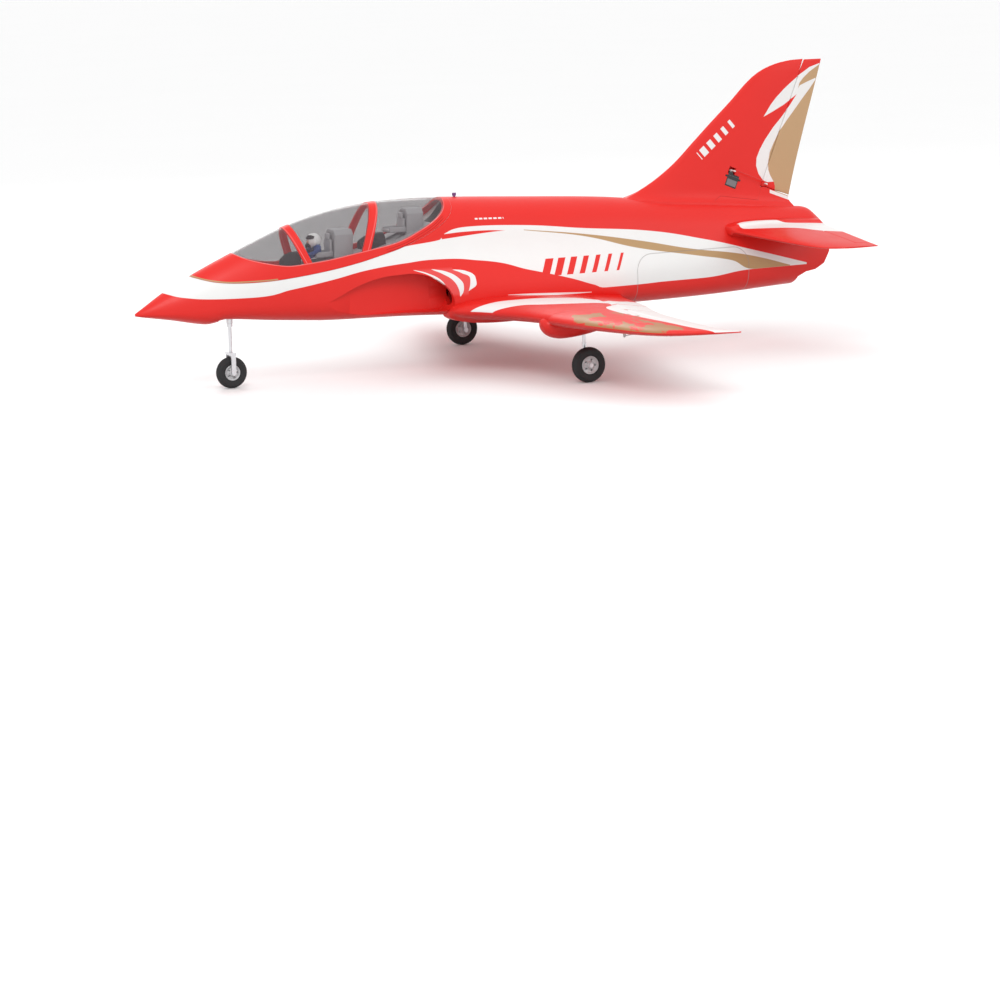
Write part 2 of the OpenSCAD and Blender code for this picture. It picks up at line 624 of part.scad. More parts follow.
module fin() color(red) from_nose() moulded() difference() {
  fin_loft();
  hull_shape(-0.05, 32);
  rudder_room();
  at_rudder_link() at_servo(rudder_link) servo_pocket();
}
module rudder() color(tan_gold) from_nose() difference() {
  moulded() {
    rudder_loft();
    at_rudder_link() horn(rudder_link, 5);
  }
  at_rudder_link() horn_bore(rudder_link);
}
module rudder_servo() color(black) from_nose() at_rudder_link() at_servo(rudder_link) servo_body();
module rudder_servo_arm() color(white) from_nose()
  at_rudder_link() at_servo(rudder_link) servo_arm(rudder_link[2]);
module rudder_pushrod() color(red) from_nose() at_rudder_link() pushrod(rudder_link);

// ---- Stabiliser and elevators ----

stab_lead = [[20, 1074], [50, 1090], [115, 1122], [185, 1160], [215, 1180], [228, 1196], [236, 1222]];
stab_trail = [[20, 1286], [236, 1292]];
stab_thick = [[20, 17], [50, 16.5], [115, 14], [185, 10], [215, 7], [236, 2]];
stab_root_z = 83;
droop = 7.5;
stab_hinge = [[1247, 58], [1262, 214], 4, 2.4];
module in_stab() translate([0, 0, stab_root_z]) rotate([-droop, 0, 0]) children();
module stab_loft(ys) in_stab() loft([for (y = ys) [for (p = profile(curve(y, stab_lead), curve(y, stab_trail),
  curve(y, stab_thick))) [p[0], y, -p[1]]]]);
stab_rings = [20, 50, 80, 115, 150, 185, 205, 218, 228, 233, 236];
module stab_behind() in_stab() behind_hinge(stab_hinge, 1330);
elevator_arm_y = 74;
module at_elevator_link() in_stab() translate([hinge_x(stab_hinge, elevator_arm_y), elevator_arm_y, 0])
  rotate([0, 0, hinge_angle(stab_hinge)]) rotate([90, 0, 0]) children();

module stabiliser(side) color(red) from_nose() at_side(side) moulded() difference() {
  stab_loft(stab_rings);
  hull_shape(-0.1, 32);
  stab_behind();
  at_elevator_link() at_servo(elevator_link) servo_pocket();
}
module stabiliser_left() stabiliser(-1);
module stabiliser_right() stabiliser(1);
module elevator(side) color(red) from_nose() at_side(side) difference() {
  moulded() {
    in_stab() loft([for (y = surface_ends(stab_hinge, [80, 115, 150, 185, 205]))
      [for (p = nose_profile(hinge_x(stab_hinge, y), hinge_r(stab_hinge, y), curve(y, stab_lead),
        curve(y, stab_trail), curve(y, stab_thick))) [p[0], y, -p[1]]]]);
    at_elevator_link() horn(elevator_link, 4.2);
  }
  at_elevator_link() horn_bore(elevator_link);
}
module elevator_left() elevator(-1);
module elevator_right() elevator(1);
module elevator_servos() color(black) from_nose() for (side = [-1, 1]) at_side(side)
  at_elevator_link() at_servo(elevator_link) servo_body();
module elevator_arm(side) color(white) from_nose() at_side(side)
  at_elevator_link() at_servo(elevator_link) servo_arm(elevator_link[2]);
module elevator_arm_left() elevator_arm(-1);
module elevator_arm_right() elevator_arm(1);
module elevator_rod(side) color(silver) from_nose() at_side(side) at_elevator_link() pushrod(elevator_link);
module elevator_pushrod_left() elevator_rod(-1);
module elevator_pushrod_right() elevator_rod(1);

// ---- Landing gear ----

pin_r = 2;
nose_x = 165;
nose_pivot_z = 2;
nose_axle_z = nose_wheel_r - nose_height;

module main_unit() difference() {
  union() {
    for (x = [gear_x - 16, gear_x + 7.5]) translate([x, pivot_y - 9, -25]) cube([8.5, 24, 14]);
    translate([gear_x - 16, pivot_y - 9, -12.6]) cube([32, 38, 1.6]);
    // Actuator block outboard of the pivot
    translate([gear_x - 16, pivot_y + 12, -27]) cube([32, 17, 16]);
  }
  along_x(gear_x - 20, pivot_y, pivot_z) cylinder(r = pin_r + bore_play, h = 40);
}
module nose_unit() difference() {
  union() {
    for (y = [-15, 9]) translate([nose_x - 11, y, -5]) cube([22, 6, 37.8]);
    translate([nose_x - 22, -15, 18]) cube([33, 30, 14.8]);
    translate([nose_x - 25, -11, -2]) cube([14.5, 22, 34.8]);
  }
  along_y(nose_x, -20, nose_pivot_z) cylinder(r = pin_r + bore_play, h = 40);
}
module retract_units() color(dark_grey) from_nose() {
  nose_unit();
  for (side = [-1, 1]) at_side(side) main_unit();
}

strut_r = 3;
module main_leg(side) color(silver) from_nose() at_side(side) {
  along_x(gear_x - 14, pivot_y, pivot_z) cylinder(r = pin_r, h = 28);
  along_x(gear_x - 6.5, pivot_y, pivot_z) cylinder(r = 3.7, h = 13);
  translate([gear_x, pivot_y, axle_z]) cylinder(r = strut_r, h = pivot_z - axle_z);
  translate([gear_x, pivot_y, axle_z + 30]) cylinder(r = 4, h = 6);
  along_y(gear_x, pivot_y - 4.5, axle_z) cylinder(r = 4.2, h = 8);
  along_y(gear_x, pivot_y, axle_z) cylinder(r = pin_r, h = wheel_y - pivot_y + 12);
  along_y(gear_x, wheel_y + 10.6, axle_z) cylinder(r = 3.4, h = 1.6);
}
module main_leg_left() main_leg(-1);
module main_leg_right() main_leg(1);

module at_main_wheel(side) from_nose() at_side(side) along_y(gear_x, wheel_y, axle_z) children();
module hub_shape(rim_r, half) difference() {
  rotate_extrude() polygon([
    [pin_r + bore_play, -half - 1], [6, -half - 1], [7, -half + 2], [rim_r - 4, -half + 3],
    [rim_r - 2.6, -half + 1.6], [rim_r, -half + 1.6], [rim_r, half - 1.6], [rim_r - 2.6, half - 1.6],
    [rim_r - 4, half - 3], [7, half - 2], [6, half + 1], [pin_r + bore_play, half + 1]]);
  for (i = [0:4]) rotate([0, 0, 72 * i])
    translate([(rim_r + 3) / 2, 0, -half - 2]) cylinder(r = 1.8, h = 2 * half + 4);
}
module tyre_shape(r, rim_r, half) rotate_extrude() polygon(concat(
  [[rim_r + 0.05, -half + 2.2], [rim_r + 1.2, -half + 0.6]],
  [for (a = [-70:20:70]) [r - 8 + 8 * cos(a), half * sin(a) / sin(70)]],
  [[rim_r + 1.2, half - 0.6], [rim_r + 0.05, half - 2.2]]));
main_rim_r = 15.5;
nose_rim_r = 13.5;
module main_hub_left() color(silver) at_main_wheel(-1) hub_shape(main_rim_r, wheel_half_w);
module main_hub_right() color(silver) at_main_wheel(1) hub_shape(main_rim_r, wheel_half_w);
module main_tyre_left() color(black) at_main_wheel(-1) tyre_shape(main_wheel_r, main_rim_r, wheel_half_w);
module main_tyre_right() color(black) at_main_wheel(1) tyre_shape(main_wheel_r, main_rim_r, wheel_half_w);

module nose_trunnion() color(silver) from_nose() difference() {
  union() {
    along_y(nose_x, -14, nose_pivot_z) cylinder(r = pin_r, h = 28);
    along_y(nose_x, -8.4, nose_pivot_z) cylinder(r = 4, h = 16.8);
    translate([nose_x, 0, -26]) cylinder(r = 5.5, h = 26);
  }
  translate([nose_x, 0, -30]) cylinder(r = strut_r + bore_play, h = 26);
}
module nose_fork() color(silver) from_nose() {
  translate([nose_x, 0, -76]) cylinder(r = strut_r, h = 71);
  translate([nose_x, 0, -32]) cylinder(r = 5, h = 5.6);
  translate([nose_x - 5, -14.5, -80]) cube([10, 29, 5]);
  for (y = [-14.5, 12]) {
    translate([nose_x - 4, y, nose_axle_z]) cube([8, 2.5, -76 - nose_axle_z]);
    along_y(nose_x, y, nose_axle_z) cylinder(r = 4, h = 2.5);
  }
  along_y(nose_x, -14.5, nose_axle_z) cylinder(r = pin_r, h = 29);
}
module at_nose_wheel() from_nose() along_y(nose_x, 0, nose_axle_z) children();
module nose_hub() color(silver) at_nose_wheel() hub_shape(nose_rim_r, 8.5);
module nose_tyre() color(black) at_nose_wheel() tyre_shape(nose_wheel_r, nose_rim_r, 8.5);

fuselage();
intake_ducts();
fan_housing();
fan_motor();
fan_rotor();
exhaust_duct();
battery();
battery_tray();
speed_controller();
receiver();
hatch_frame();
canopy_glass();
cockpit_tub();
pilot();
seats();
instrument_panels();
hatch_latch();
fin();
rudder();
rudder_servo();
rudder_servo_arm();
rudder_pushrod();
stabiliser_left();
stabiliser_right();
elevator_left();
elevator_right();
elevator_servos();
elevator_arm_left();
elevator_arm_right();
elevator_pushrod_left();
elevator_pushrod_right();
wing_left();
wing_right();
wing_joiners();
aileron_left();
aileron_right();
flap_left();
flap_right();
wing_servos();
aileron_arm_left();
aileron_arm_right();
flap_arm_left();
flap_arm_right();
aileron_pushrod_left();
aileron_pushrod_right();
flap_pushrod_left();
flap_pushrod_right();
retract_units();
nose_trunnion();
nose_fork();
nose_hub();
nose_tyre();
main_leg_left();
main_leg_right();
main_hub_left();
main_hub_right();
main_tyre_left();
main_tyre_right();
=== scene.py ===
import math

import bmesh
import bpy
import numpy as np
from mathutils import Matrix, Vector


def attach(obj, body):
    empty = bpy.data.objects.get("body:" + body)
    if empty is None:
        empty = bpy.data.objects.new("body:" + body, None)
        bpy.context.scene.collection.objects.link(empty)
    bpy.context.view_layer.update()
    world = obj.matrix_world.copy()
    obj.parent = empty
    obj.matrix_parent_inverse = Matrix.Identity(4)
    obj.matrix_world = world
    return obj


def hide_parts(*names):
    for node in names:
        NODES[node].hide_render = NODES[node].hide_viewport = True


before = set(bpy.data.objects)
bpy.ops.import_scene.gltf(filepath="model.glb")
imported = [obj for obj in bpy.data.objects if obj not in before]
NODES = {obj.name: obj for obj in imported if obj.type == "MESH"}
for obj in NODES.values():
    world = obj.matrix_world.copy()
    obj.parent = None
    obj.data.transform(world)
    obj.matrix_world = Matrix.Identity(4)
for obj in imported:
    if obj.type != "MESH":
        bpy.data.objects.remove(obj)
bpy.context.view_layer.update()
SCENE = bpy.context.scene

# ---------------------------------------------------------------- outline of the airframe
# The same tables as the CAD source: millimetres, x aft and z up from the nose tip, +Y to starboard.
LENGTH, NOSE_HEIGHT = 1313.0, 137.0
TOP = [[0, 1.5], [12, 9], [51, 34], [95, 57], [174, 93], [269, 132], [345, 153], [423, 164],
       [500, 166.5], [560, 164.5], [700, 157], [863, 147], [977, 135], [1081, 127], [1179, 117],
       [1249, 108], [1279, 103], [1300, 86], [1313, 72]]
BELLY = [[0, -2.5], [12, -5], [60, -13], [118, -24], [136, -22], [152, -19], [240, -26], [335, -32],
         [500, -34], [650, -40], [900, -42], [1074, -40], [1235, -33], [1313, -31]]
WIDTH = [[0, 2.5], [12, 9], [51, 22], [95, 33], [174, 44], [235, 50], [300, 54], [380, 60],
         [430, 68], [480, 79], [530, 88], [600, 92.5], [700, 92], [780, 88], [860, 81], [960, 72],
         [1090, 61], [1180, 53], [1236, 48], [1290, 43], [1313, 41]]
MIDDLE = [[0, -1], [95, 4], [174, 12], [300, 22], [430, 20], [530, 8], [700, 4], [1000, 10],
          [1313, 12]]
WAIST = [[0, 0], [300, 0.02], [430, 0.08], [560, 0.17], [700, 0.18], [900, 0.12], [1100, 0.05],
         [1313, 0]]
CORNER = [[0, 2], [118, 2.6], [335, 3.2], [600, 3.6], [1000, 3], [1313, 2.4]]
HATCH_LINE = [[93, 59], [130, 48.5], [171, 44.5], [225, 45], [280, 50], [338, 58], [385, 67],
              [420, 76], [458, 87], [503, 105], [540, 126], [560, 146], [567, 170]]
RIM_LINE = [[168, 95], [185, 86], [202, 80], [238, 71.5], [264, 68.5], [291, 70.5], [333, 75],
            [375, 82], [407, 87.5], [453, 97], [494, 114], [528, 133], [546, 149], [556, 168]]
FRONT_BOW, REAR_BOW, BOW_W = [[300, 66], [262, 150]], [[391, 80], [434, 185]], 14
TAIL_CUT = [[1235, -60], [1235, -33], [1240, -17], [1255, -9], [1275, -6], [1293, 4], [1305, 25],
            [1309, 48], [1311, 75], [1311, 120], [1345, 120], [1345, -60]]
SCOOP_WALL = [[300, 62], [330, 54], [380, 49], [440, 46.5], [500, 46], [560, 46]]
SCOOP_ROOF = [[300, -8], [340, 10], [380, 29], [420, 40], [464, 44]]
CAVITY_HALF = [[62, 17], [174, 35], [300, 45], [345, 44], [400, 41], [540, 41], [572, 78],
               [600, 84], [760, 82], [860, 73], [960, 64], [1090, 53], [1180, 45], [1216, 40]]
CAVITY_FLOOR = [[62, 6], [120, 37], [334, 37], [352, -25], [770, -25], [795, -35], [1100, -34],
                [1216, -30]]
DUCT_Z = 9.0
WING_LEAD = [[60, 531], [93, 540], [130, 573], [190, 606], [250, 624], [286, 634]]
WING_LEAD_OUTER = [[290, 624], [370, 645], [460, 672], [510, 690], [540, 712], [563, 750],
                   [580, 790], [590, 822]]
WING_TRAIL = [[60, 867], [93, 862], [130, 856], [210, 844], [270, 828], [330, 817], [410, 812],
              [490, 810], [530, 811], [560, 816], [590, 826]]
WING_THICK = [[60, 38], [93, 38], [190, 35], [290, 30], [370, 25], [460, 20], [530, 13], [563, 8],
              [590, 2.4]]
WING_Z = -24.0
FLAP_HINGE = [[792, 108], [768, 296], 8.9, 8.6]
AILERON_HINGE = [[768, 299], [773, 520], 8.5, 4.6]
POD = [[622, 626, 634, 646, 662, 690, 715, 740, 762, 778],
       [4, 12, 18, 21.5, 23.5, 24, 22, 18, 11, 3],
       [-36, -45, -53, -58, -60, -58, -54, -48, -43, -39],
       [-29, -25, -22, -20, -19, -19, -20, -22, -25, -30]]
POD_Y, GEAR_X, PIVOT_Y, STOWED_Y, WHEEL_Y, AXLE_Z = 262.0, 706.0, 255.0, 165.0, 271.0, -107.0
FIN_LEAD = [[108, 868], [130, 888], [142, 912], [151, 936], [171, 973], [198, 1011], [232, 1048],
            [267, 1086], [301, 1124], [338, 1163], [355, 1189], [366, 1220], [371, 1250], [372, 1272]]
FIN_TRAIL = [[108, 1252], [124, 1243], [372, 1313]]
FIN_THICK = [[108, 30], [130, 26], [151, 22], [200, 18], [300, 13], [350, 9], [366, 5], [372, 2]]
RUDDER_NOSE = [[146, 5.1], [350, 2.9], [362, 1.9], [371, 1.3]]
STAB_LEAD = [[20, 1074], [50, 1090], [115, 1122], [185, 1160], [215, 1180], [228, 1196], [236, 1222]]
STAB_TRAIL = [[20, 1286], [236, 1292]]
STAB_THICK = [[20, 17], [50, 16.5], [115, 14], [185, 10], [215, 7], [236, 2]]
STAB_HINGE = [[1247, 58], [1262, 214], 4, 2.4]
STAB_Z, DROOP = 83.0, math.radians(7.5)
GAP, END_GAP = 0.8, 1.0


def curve(x, table):
    """The CAD source's smooth curve through [x, value]."""
    t = np.array(table, float)
    xs, vs = t[:, 0], t[:, 1]
    n = len(xs)
    lo, hi = np.maximum(np.arange(n) - 1, 0), np.minimum(np.arange(n) + 1, n - 1)
    slope = (vs[hi] - vs[lo]) / (xs[hi] - xs[lo])
    x = np.clip(np.asarray(x, float), xs[0], xs[-1])
    i = np.clip(np.searchsorted(xs, x, side="right") - 1, 0, n - 2)
    h = xs[i + 1] - xs[i]
    u = (x - xs[i]) / h
    return ((2 * u**3 - 3 * u**2 + 1) * vs[i] + (u**3 - 2 * u**2 + u) * slope[i] * h
            + (3 * u**2 - 2 * u**3) * vs[i + 1] + (u**3 - u**2) * slope[i + 1] * h)


def power(v, e):
    return np.sign(v) * np.abs(v) ** e


def ring(x, y, z):
    """An array of points; a number that all of them share may be given once."""
    return np.stack(np.broadcast_arrays(x, y, z), 1)


def row(p):
    """Station millimetres to the row frame's metres."""
    p = np.asarray(p, float)
    return (p + np.array([-LENGTH / 2, 0, NOSE_HEIGHT])) / 1000


# ---------------------------------------------------------------- mesh tools


def make(name, verts, faces, scaled=True):
    me = bpy.data.meshes.new(name)
    me.from_pydata([tuple(v) for v in (row(verts) if scaled else np.asarray(verts))], [], faces)
    bm = bmesh.new()
    bm.from_mesh(me)
    bmesh.ops.recalc_face_normals(bm, faces=bm.faces)
    bm.to_mesh(me)
    bm.free()
    o = bpy.data.objects.new(name, me)
    SCENE.collection.objects.link(o)
    return o


def loft(name, rings, closed=True):
    r = np.asarray(rings, float)
    n, m, _ = r.shape
    faces = []
    for i in range(n - 1):
        for k in range(m):
            q = (k + 1) % m
            faces.append((i * m + k, i * m + q, (i + 1) * m + q, (i + 1) * m + k))
    if closed:
        faces += [tuple(range(m))[::-1], tuple((n - 1) * m + k for k in range(m))]
    return make(name, r.reshape(-1, 3), faces)


def prism(name, outline, y0=-150.0, y1=150.0, plan=False, z=(0, 0)):
    """A side-view outline drawn across the width, or a plan outline drawn up and down."""
    o = np.array(outline, float)
    if plan:
        rings = [[(x, y, h) for x, y in o] for h in z]
    else:
        rings = [[(x, h, v) for x, v in o] for h in (y0, y1)]
    return loft(name, rings)


def box(name, x, y, z, bevel=0.0, segments=2):
    o = prism(name, [(x[0], z[0]), (x[1], z[0]), (x[1], z[1]), (x[0], z[1])], y[0], y[1])
    if bevel:
        soften(o, bevel, segments)
    return o


def lathe(name, profile, centre, axis="Y", segments=96):
    """profile holds [along the axis, radius]."""
    rings = []
    for k in range(segments):
        a = 2 * math.pi * k / segments
        c, s = math.cos(a), math.sin(a)
        place = {"X": lambda t, r: (t, r * c, r * s), "Y": lambda t, r: (r * c, t, r * s),
                 "Z": lambda t, r: (r * c, r * s, t)}[axis]
        rings.append([np.add(place(t, r), centre) for t, r in profile])
    r = np.asarray(rings)
    n, m, _ = r.shape
    faces = [((k * m + j), (k * m + j + 1), ((k + 1) % n * m + j + 1), ((k + 1) % n * m + j))
             for k in range(n) for j in range(m - 1)]
    faces += [(k * m + m - 1, k * m, (k + 1) % n * m, (k + 1) % n * m + m - 1) for k in range(n)]
    return make(name, r.reshape(-1, 3), faces)


def bar(name, t0, t1, r, centre, axis="Y", segments=96):
    """A round bar from t0 to t1 along its axis, for cutting holes."""
    return lathe(name, [(t0, 0.01), (t0, r), (t1, r), (t1, 0.01)], centre, axis, segments)


def bake(o):
    """Applies an object's modifiers."""
    dg = bpy.context.evaluated_depsgraph_get()
    me = bpy.data.meshes.new_from_object(o.evaluated_get(dg))
    old = o.data
    o.modifiers.clear()
    o.data = me
    bpy.data.meshes.remove(old)
    return o


def carve(o, tools, how="DIFFERENCE"):
    for t in tools:
        m = o.modifiers.new("cut", "BOOLEAN")
        m.operation, m.object, m.solver = how, t, "MANIFOLD"
    bpy.context.view_layer.update()
    bake(o)
    for t in tools:
        bpy.data.objects.remove(t)
    return o


def soften(o, width_mm, segments=2, angle=40):
    m = o.modifiers.new("bevel", "BEVEL")
    m.width, m.segments, m.limit_method = width_mm / 1000, segments, "ANGLE"
    m.angle_limit = math.radians(angle)
    bpy.context.view_layer.update()
    return bake(o)


def smooth(o, angle=32):
    o.data.shade_smooth()
    o.data.set_sharp_from_angle(angle=math.radians(angle))
    return o


def join(name, parts):
    bm = bmesh.new()
    for p in parts:
        bm.from_mesh(p.data)
        bpy.data.objects.remove(p)
    me = bpy.data.meshes.new(name)
    bm.to_mesh(me)
    bm.free()
    o = bpy.data.objects.new(name, me)
    SCENE.collection.objects.link(o)
    return o


def move(o, matrix):
    o.data.transform(matrix)
    if matrix.determinant() < 0:
        o.data.flip_normals()
    return o


MIRROR = Matrix.Scale(-1, 4, (0, 1, 0))


def mirrored(o, name):
    """The port copy of a starboard piece."""
    c = bpy.data.objects.new(name, o.data.copy())
    SCENE.collection.objects.link(c)
    return move(c, MIRROR)


def clad(o, *materials):
    o.data.materials.clear()
    for m in materials:
        o.data.materials.append(m)
    return o


# ---------------------------------------------------------------- fuselage, hatch and canopy


def hull_rings(inset=0.0, count=112, step=5.0):
    xs = np.concatenate([[0.5, 1.5, 3, 5, 8, 12, 17, 23, 30, 38], np.arange(45, 1278, step),
                         np.arange(1278, 1312.1, 2)])
    xs = xs[xs > inset * 5]
    a = np.radians(-90 + 360 * np.arange(count) / count)
    c, s = np.cos(a), np.sin(a)
    rings = []
    for x in xs:
        zc = curve(x, MIDDLE)
        w, up = curve(x, WIDTH) - inset, curve(x, TOP) - inset - zc
        down = zc - curve(x, BELLY) - inset
        waist = 1 - curve(x, WAIST) * np.sin(np.pi * np.maximum(s, 0)) ** 2
        e = np.where(s < 0, 2 / curve(x, CORNER), 1)
        y = w * power(c, e) * waist
        z = zc + np.where(s < 0, down, up) * power(s, e)
        rings.append(ring(x, y, z))
    return rings


def hull(inset=0.0, count=112, step=5.0):
    return loft("hull", hull_rings(inset, count, step))


def above(line, lift=0.0):
    """Everything above a side-view line."""
    xs = np.linspace(line[0][0], line[-1][0], 90)
    pts = [(x, z + lift) for x, z in zip(xs, curve(xs, line))]
    return prism("above", pts + [(line[-1][0], 230), (line[0][0], 230)])


def bow(b, w):
    """The slanted slice of the hatch that a canopy bow keeps."""
    return prism("bow", [(b[0][0] - w / 2, b[0][1] - 12), (b[0][0] + w / 2, b[0][1] - 12),
                         (b[1][0] + w / 2, b[1][1]), (b[1][0] - w / 2, b[1][1])])


def cavity():
    """The room inside the fuselage."""
    rings = []
    for x in np.concatenate([[62, 76], np.arange(90, 1216, 9), [1216]]):
        lo, hi = curve(x, CAVITY_FLOOR), curve(x, TOP) - 7
        zc = min(max(curve(x, MIDDLE), lo + 4), hi)
        a = np.radians(-90 + 7.5 * np.arange(48))
        s, e = np.sin(a), np.where(np.sin(a) < 0, 0.6, 1)
        waist = 1 - 0.22 * np.sin(np.pi * np.maximum(s, 0)) ** 2
        y = (curve(x, CAVITY_HALF) - 0.4) * power(np.cos(a), e) * waist
        z = zc + np.where(s < 0, zc - lo, hi - zc) * power(s, e)
        rings.append(ring(x, y, z))
    return loft("cavity", rings)


def section(lead, trail, thick, steps=44):
    u = (1 - np.cos(np.pi * np.arange(steps + 1) / steps)) / 2
    h = thick * half_thickness(u) + 0.6 * u
    x = lead + (trail - lead) * u
    return np.concatenate([np.stack([x[::-1], h[::-1]], 1), np.stack([x[1:], -h[1:]], 1)])


def half_thickness(u):
    return 5 * (0.2969 * np.sqrt(u) - 0.1260 * u - 0.3516 * u**2 + 0.2843 * u**3 - 0.1036 * u**4)


def wing_plan(y):
    """The wing's leading edge, trailing edge and thickness at a span."""
    lead = WING_LEAD if y < 288 else WING_LEAD_OUTER
    return curve(y, lead), curve(y, WING_TRAIL), curve(y, WING_THICK)


def stab_plan(y):
    return curve(y, STAB_LEAD), curve(y, STAB_TRAIL), curve(y, STAB_THICK)


def lift(points, y, z):
    """A section's points, stood at a span and a height."""
    return ring(points[:, 0], y, z - points[:, 1])


def wing_ring(y):
    return lift(section(*wing_plan(y)), y, WING_Z)


def fillet(p, column, middle, gap, grow, fall):
    """Thickens a flying surface's ring where it meets the body; gap is each point's way out from it."""
    p[:, column] += np.sign(p[:, column] - middle) * grow * np.exp(-np.maximum(gap, 0) / fall)
    return p


def stub_ring(y):
    """The wing's first ring inboard of its joint, which the fuselage carries."""
    p = wing_ring(y)
    return fillet(p, 2, WING_Z, y + 3 - 0.92 * curve(p[:, 0], WIDTH), 7 * min(1, (93 - y) / 8), 5)


def scoop():
    """The recess that leads air to an intake."""
    a = np.radians(np.arange(0, 91, 3))
    out = [(x, curve(x, SCOOP_ROOF)) for x in np.arange(300, 462, 6)]
    out += [(464 + 78 * math.sin(t), -12 + 56 * math.cos(t)) for t in a]
    out += [(538, -19), (530, -24), (300, -24)]
    side = prism("scoop", out, 0, 140)
    plan = [(x, curve(x, SCOOP_WALL)) for x in np.arange(300, 561, 6)] + [(560, 140), (300, 140)]
    return carve(side, [prism("plan", plan, plan=True, z=(-60, 80))], "INTERSECT")


def both(make_one):
    o = make_one()
    return [o, mirrored(o, o.name + "_port")]


def throat():
    a = 2 * np.pi * np.arange(72) / 72
    return loft("throat", [ring(x, 62 + 18 * np.cos(a), 6 + 22 * np.sin(a)) for x in (512, 540, 590)])


fuselage = hull()
carve(fuselage, both(lambda: loft("stub", [stub_ring(y) for y in np.linspace(60, 93, 18)])), "UNION")
carve(fuselage, [
    cavity(), above(HATCH_LINE), box("bay", (138, 318), (-27, 27), (-60, 33)), *both(scoop),
    *both(throat), bar("bore", 1150, 1350, 37.7, (0, 0, DUCT_Z), "X"),
    prism("tail", TAIL_CUT), box("slot", (575, 598), (-2.4, 2.4), (140, 180)),
    box("tongue_room", (569, 598), (-6, 6), (140, 155.2)),
])
fuselage.name = "fuselage_skin"
smooth(fuselage, 38)

hatch = hull()
carve(hatch, [above(HATCH_LINE, 0.5)], "INTERSECT")
pane = above(RIM_LINE)
carve(pane, [bow(FRONT_BOW, BOW_W), bow(REAR_BOW, BOW_W)])
carve(hatch, [hull(5, 80, 8), pane])
hatch.name = "hatch_shell"
smooth(hatch, 38)

glass = hull(0.6)
carve(glass, [above(RIM_LINE, 0.2)], "INTERSECT")
carve(glass, [hull(1.8), bow(FRONT_BOW, BOW_W + 0.4), bow(REAR_BOW, BOW_W + 0.4)])
glass.name = "canopy_panes"
smooth(glass, 38)

# ---------------------------------------------------------------- flying surfaces
ROW = Matrix.Translation((-LENGTH / 2000, 0, NOSE_HEIGHT / 1000)) @ Matrix.Scale(0.001, 4)
STAB = Matrix.Translation((0, 0, STAB_Z)) @ Matrix.Rotation(-DROOP, 4, "X")
RUDDER_LEAN = math.radians(22)
# Each linkage: [distance ahead of the hinge, outward shift, arm length]
RUDDER_LINK, ELEVATOR_LINK, AILERON_LINK, FLAP_LINK = ([71, 3, 14], [78, 1.5, 13], [60, 5, 15],
                                                       [45, 9, 16])
FLAP_ARM_Y, AILERON_ARM_Y, ELEVATOR_ARM_Y = 209.0, 400.0, 74.0


def hinge_x(h, y):
    return h[0][0] + (h[1][0] - h[0][0]) * (y - h[0][1]) / (h[1][1] - h[0][1])


def hinge_r(h, y):
    return h[2] + (h[3] - h[2]) * (y - h[0][1]) / (h[1][1] - h[0][1])


def hinge_turn(h):
    return Matrix.Rotation(math.atan2(h[0][0] - h[1][0], h[1][1] - h[0][1]), 4, "Z")


def wing_link(h, y):
    return (Matrix.Translation((hinge_x(h, y), y, WING_Z)) @ hinge_turn(h)
            @ Matrix.Rotation(math.pi / 2, 4, "X"))


def rudder_x(z):
    return 1179 + (z - 124) * math.tan(RUDDER_LEAN)


RUDDER_AT = Matrix.Translation((rudder_x(152), 0, 152)) @ Matrix.Rotation(RUDDER_LEAN, 4, "Y")
ELEVATOR_AT = (STAB @ Matrix.Translation((hinge_x(STAB_HINGE, ELEVATOR_ARM_Y), ELEVATOR_ARM_Y, 0))
               @ hinge_turn(STAB_HINGE) @ Matrix.Rotation(math.pi / 2, 4, "X"))
FLAP_AT, AILERON_AT = wing_link(FLAP_HINGE, FLAP_ARM_Y), wing_link(AILERON_HINGE, AILERON_ARM_Y)


def at_servo(link):
    return Matrix.Translation((-link[0], -link[1], 0))


def raw(name, low, size):
    """A box in a linkage's own millimetres."""
    x, y, z = low
    a, b, c = size
    v = [(x + i * a, y + j * b, z + k * c) for i in (0, 1) for j in (0, 1) for k in (0, 1)]
    f = [(0, 1, 3, 2), (4, 6, 7, 5), (0, 4, 5, 1), (2, 3, 7, 6), (0, 2, 6, 4), (1, 5, 7, 3)]
    return make(name, v, f, scaled=False)


def pockets(at, link):
    """The room for one servo: its case, its lugs and its arm."""
    m = ROW @ at @ at_servo(link)
    return [move(raw("pocket", *b), m) for b in (
        ((-6.4, -30, -28.9), (23.8, 36.4, 23.3)), ((-11, -30, -13.5), (33, 36.4, 3.5)),
        ((-8, -30, -6), (14.6, 36.4, 12)))]


def nose_ring(hinge, r, lead, trail, thick, steps=20):
    """A control surface's section, with a round nose about its hinge."""
    u0 = (hinge + 0.7 * r - lead) / (trail - lead)
    u = 1 + (u0 - 1) * np.arange(steps + 1) / steps
    top = np.stack([lead + (trail - lead) * u, thick * half_thickness(u) + 0.6 * u], 1)
    a = np.radians(85 + 190 * np.arange(29) / 28)
    nose = np.stack([hinge + r * np.cos(a), r * np.sin(a)], 1)
    return np.concatenate([top, nose, (top * (1, -1))[::-1]])


def behind(h, aft):
    """The slab aft of a hinge line that makes room for the surface."""
    return prism("behind", [(h[0][0] - h[2] - GAP, h[0][1]), (h[1][0] - h[3] - GAP, h[1][1]),
                            (aft, h[1][1]), (aft, h[0][1])], plan=True, z=(-100, 50))


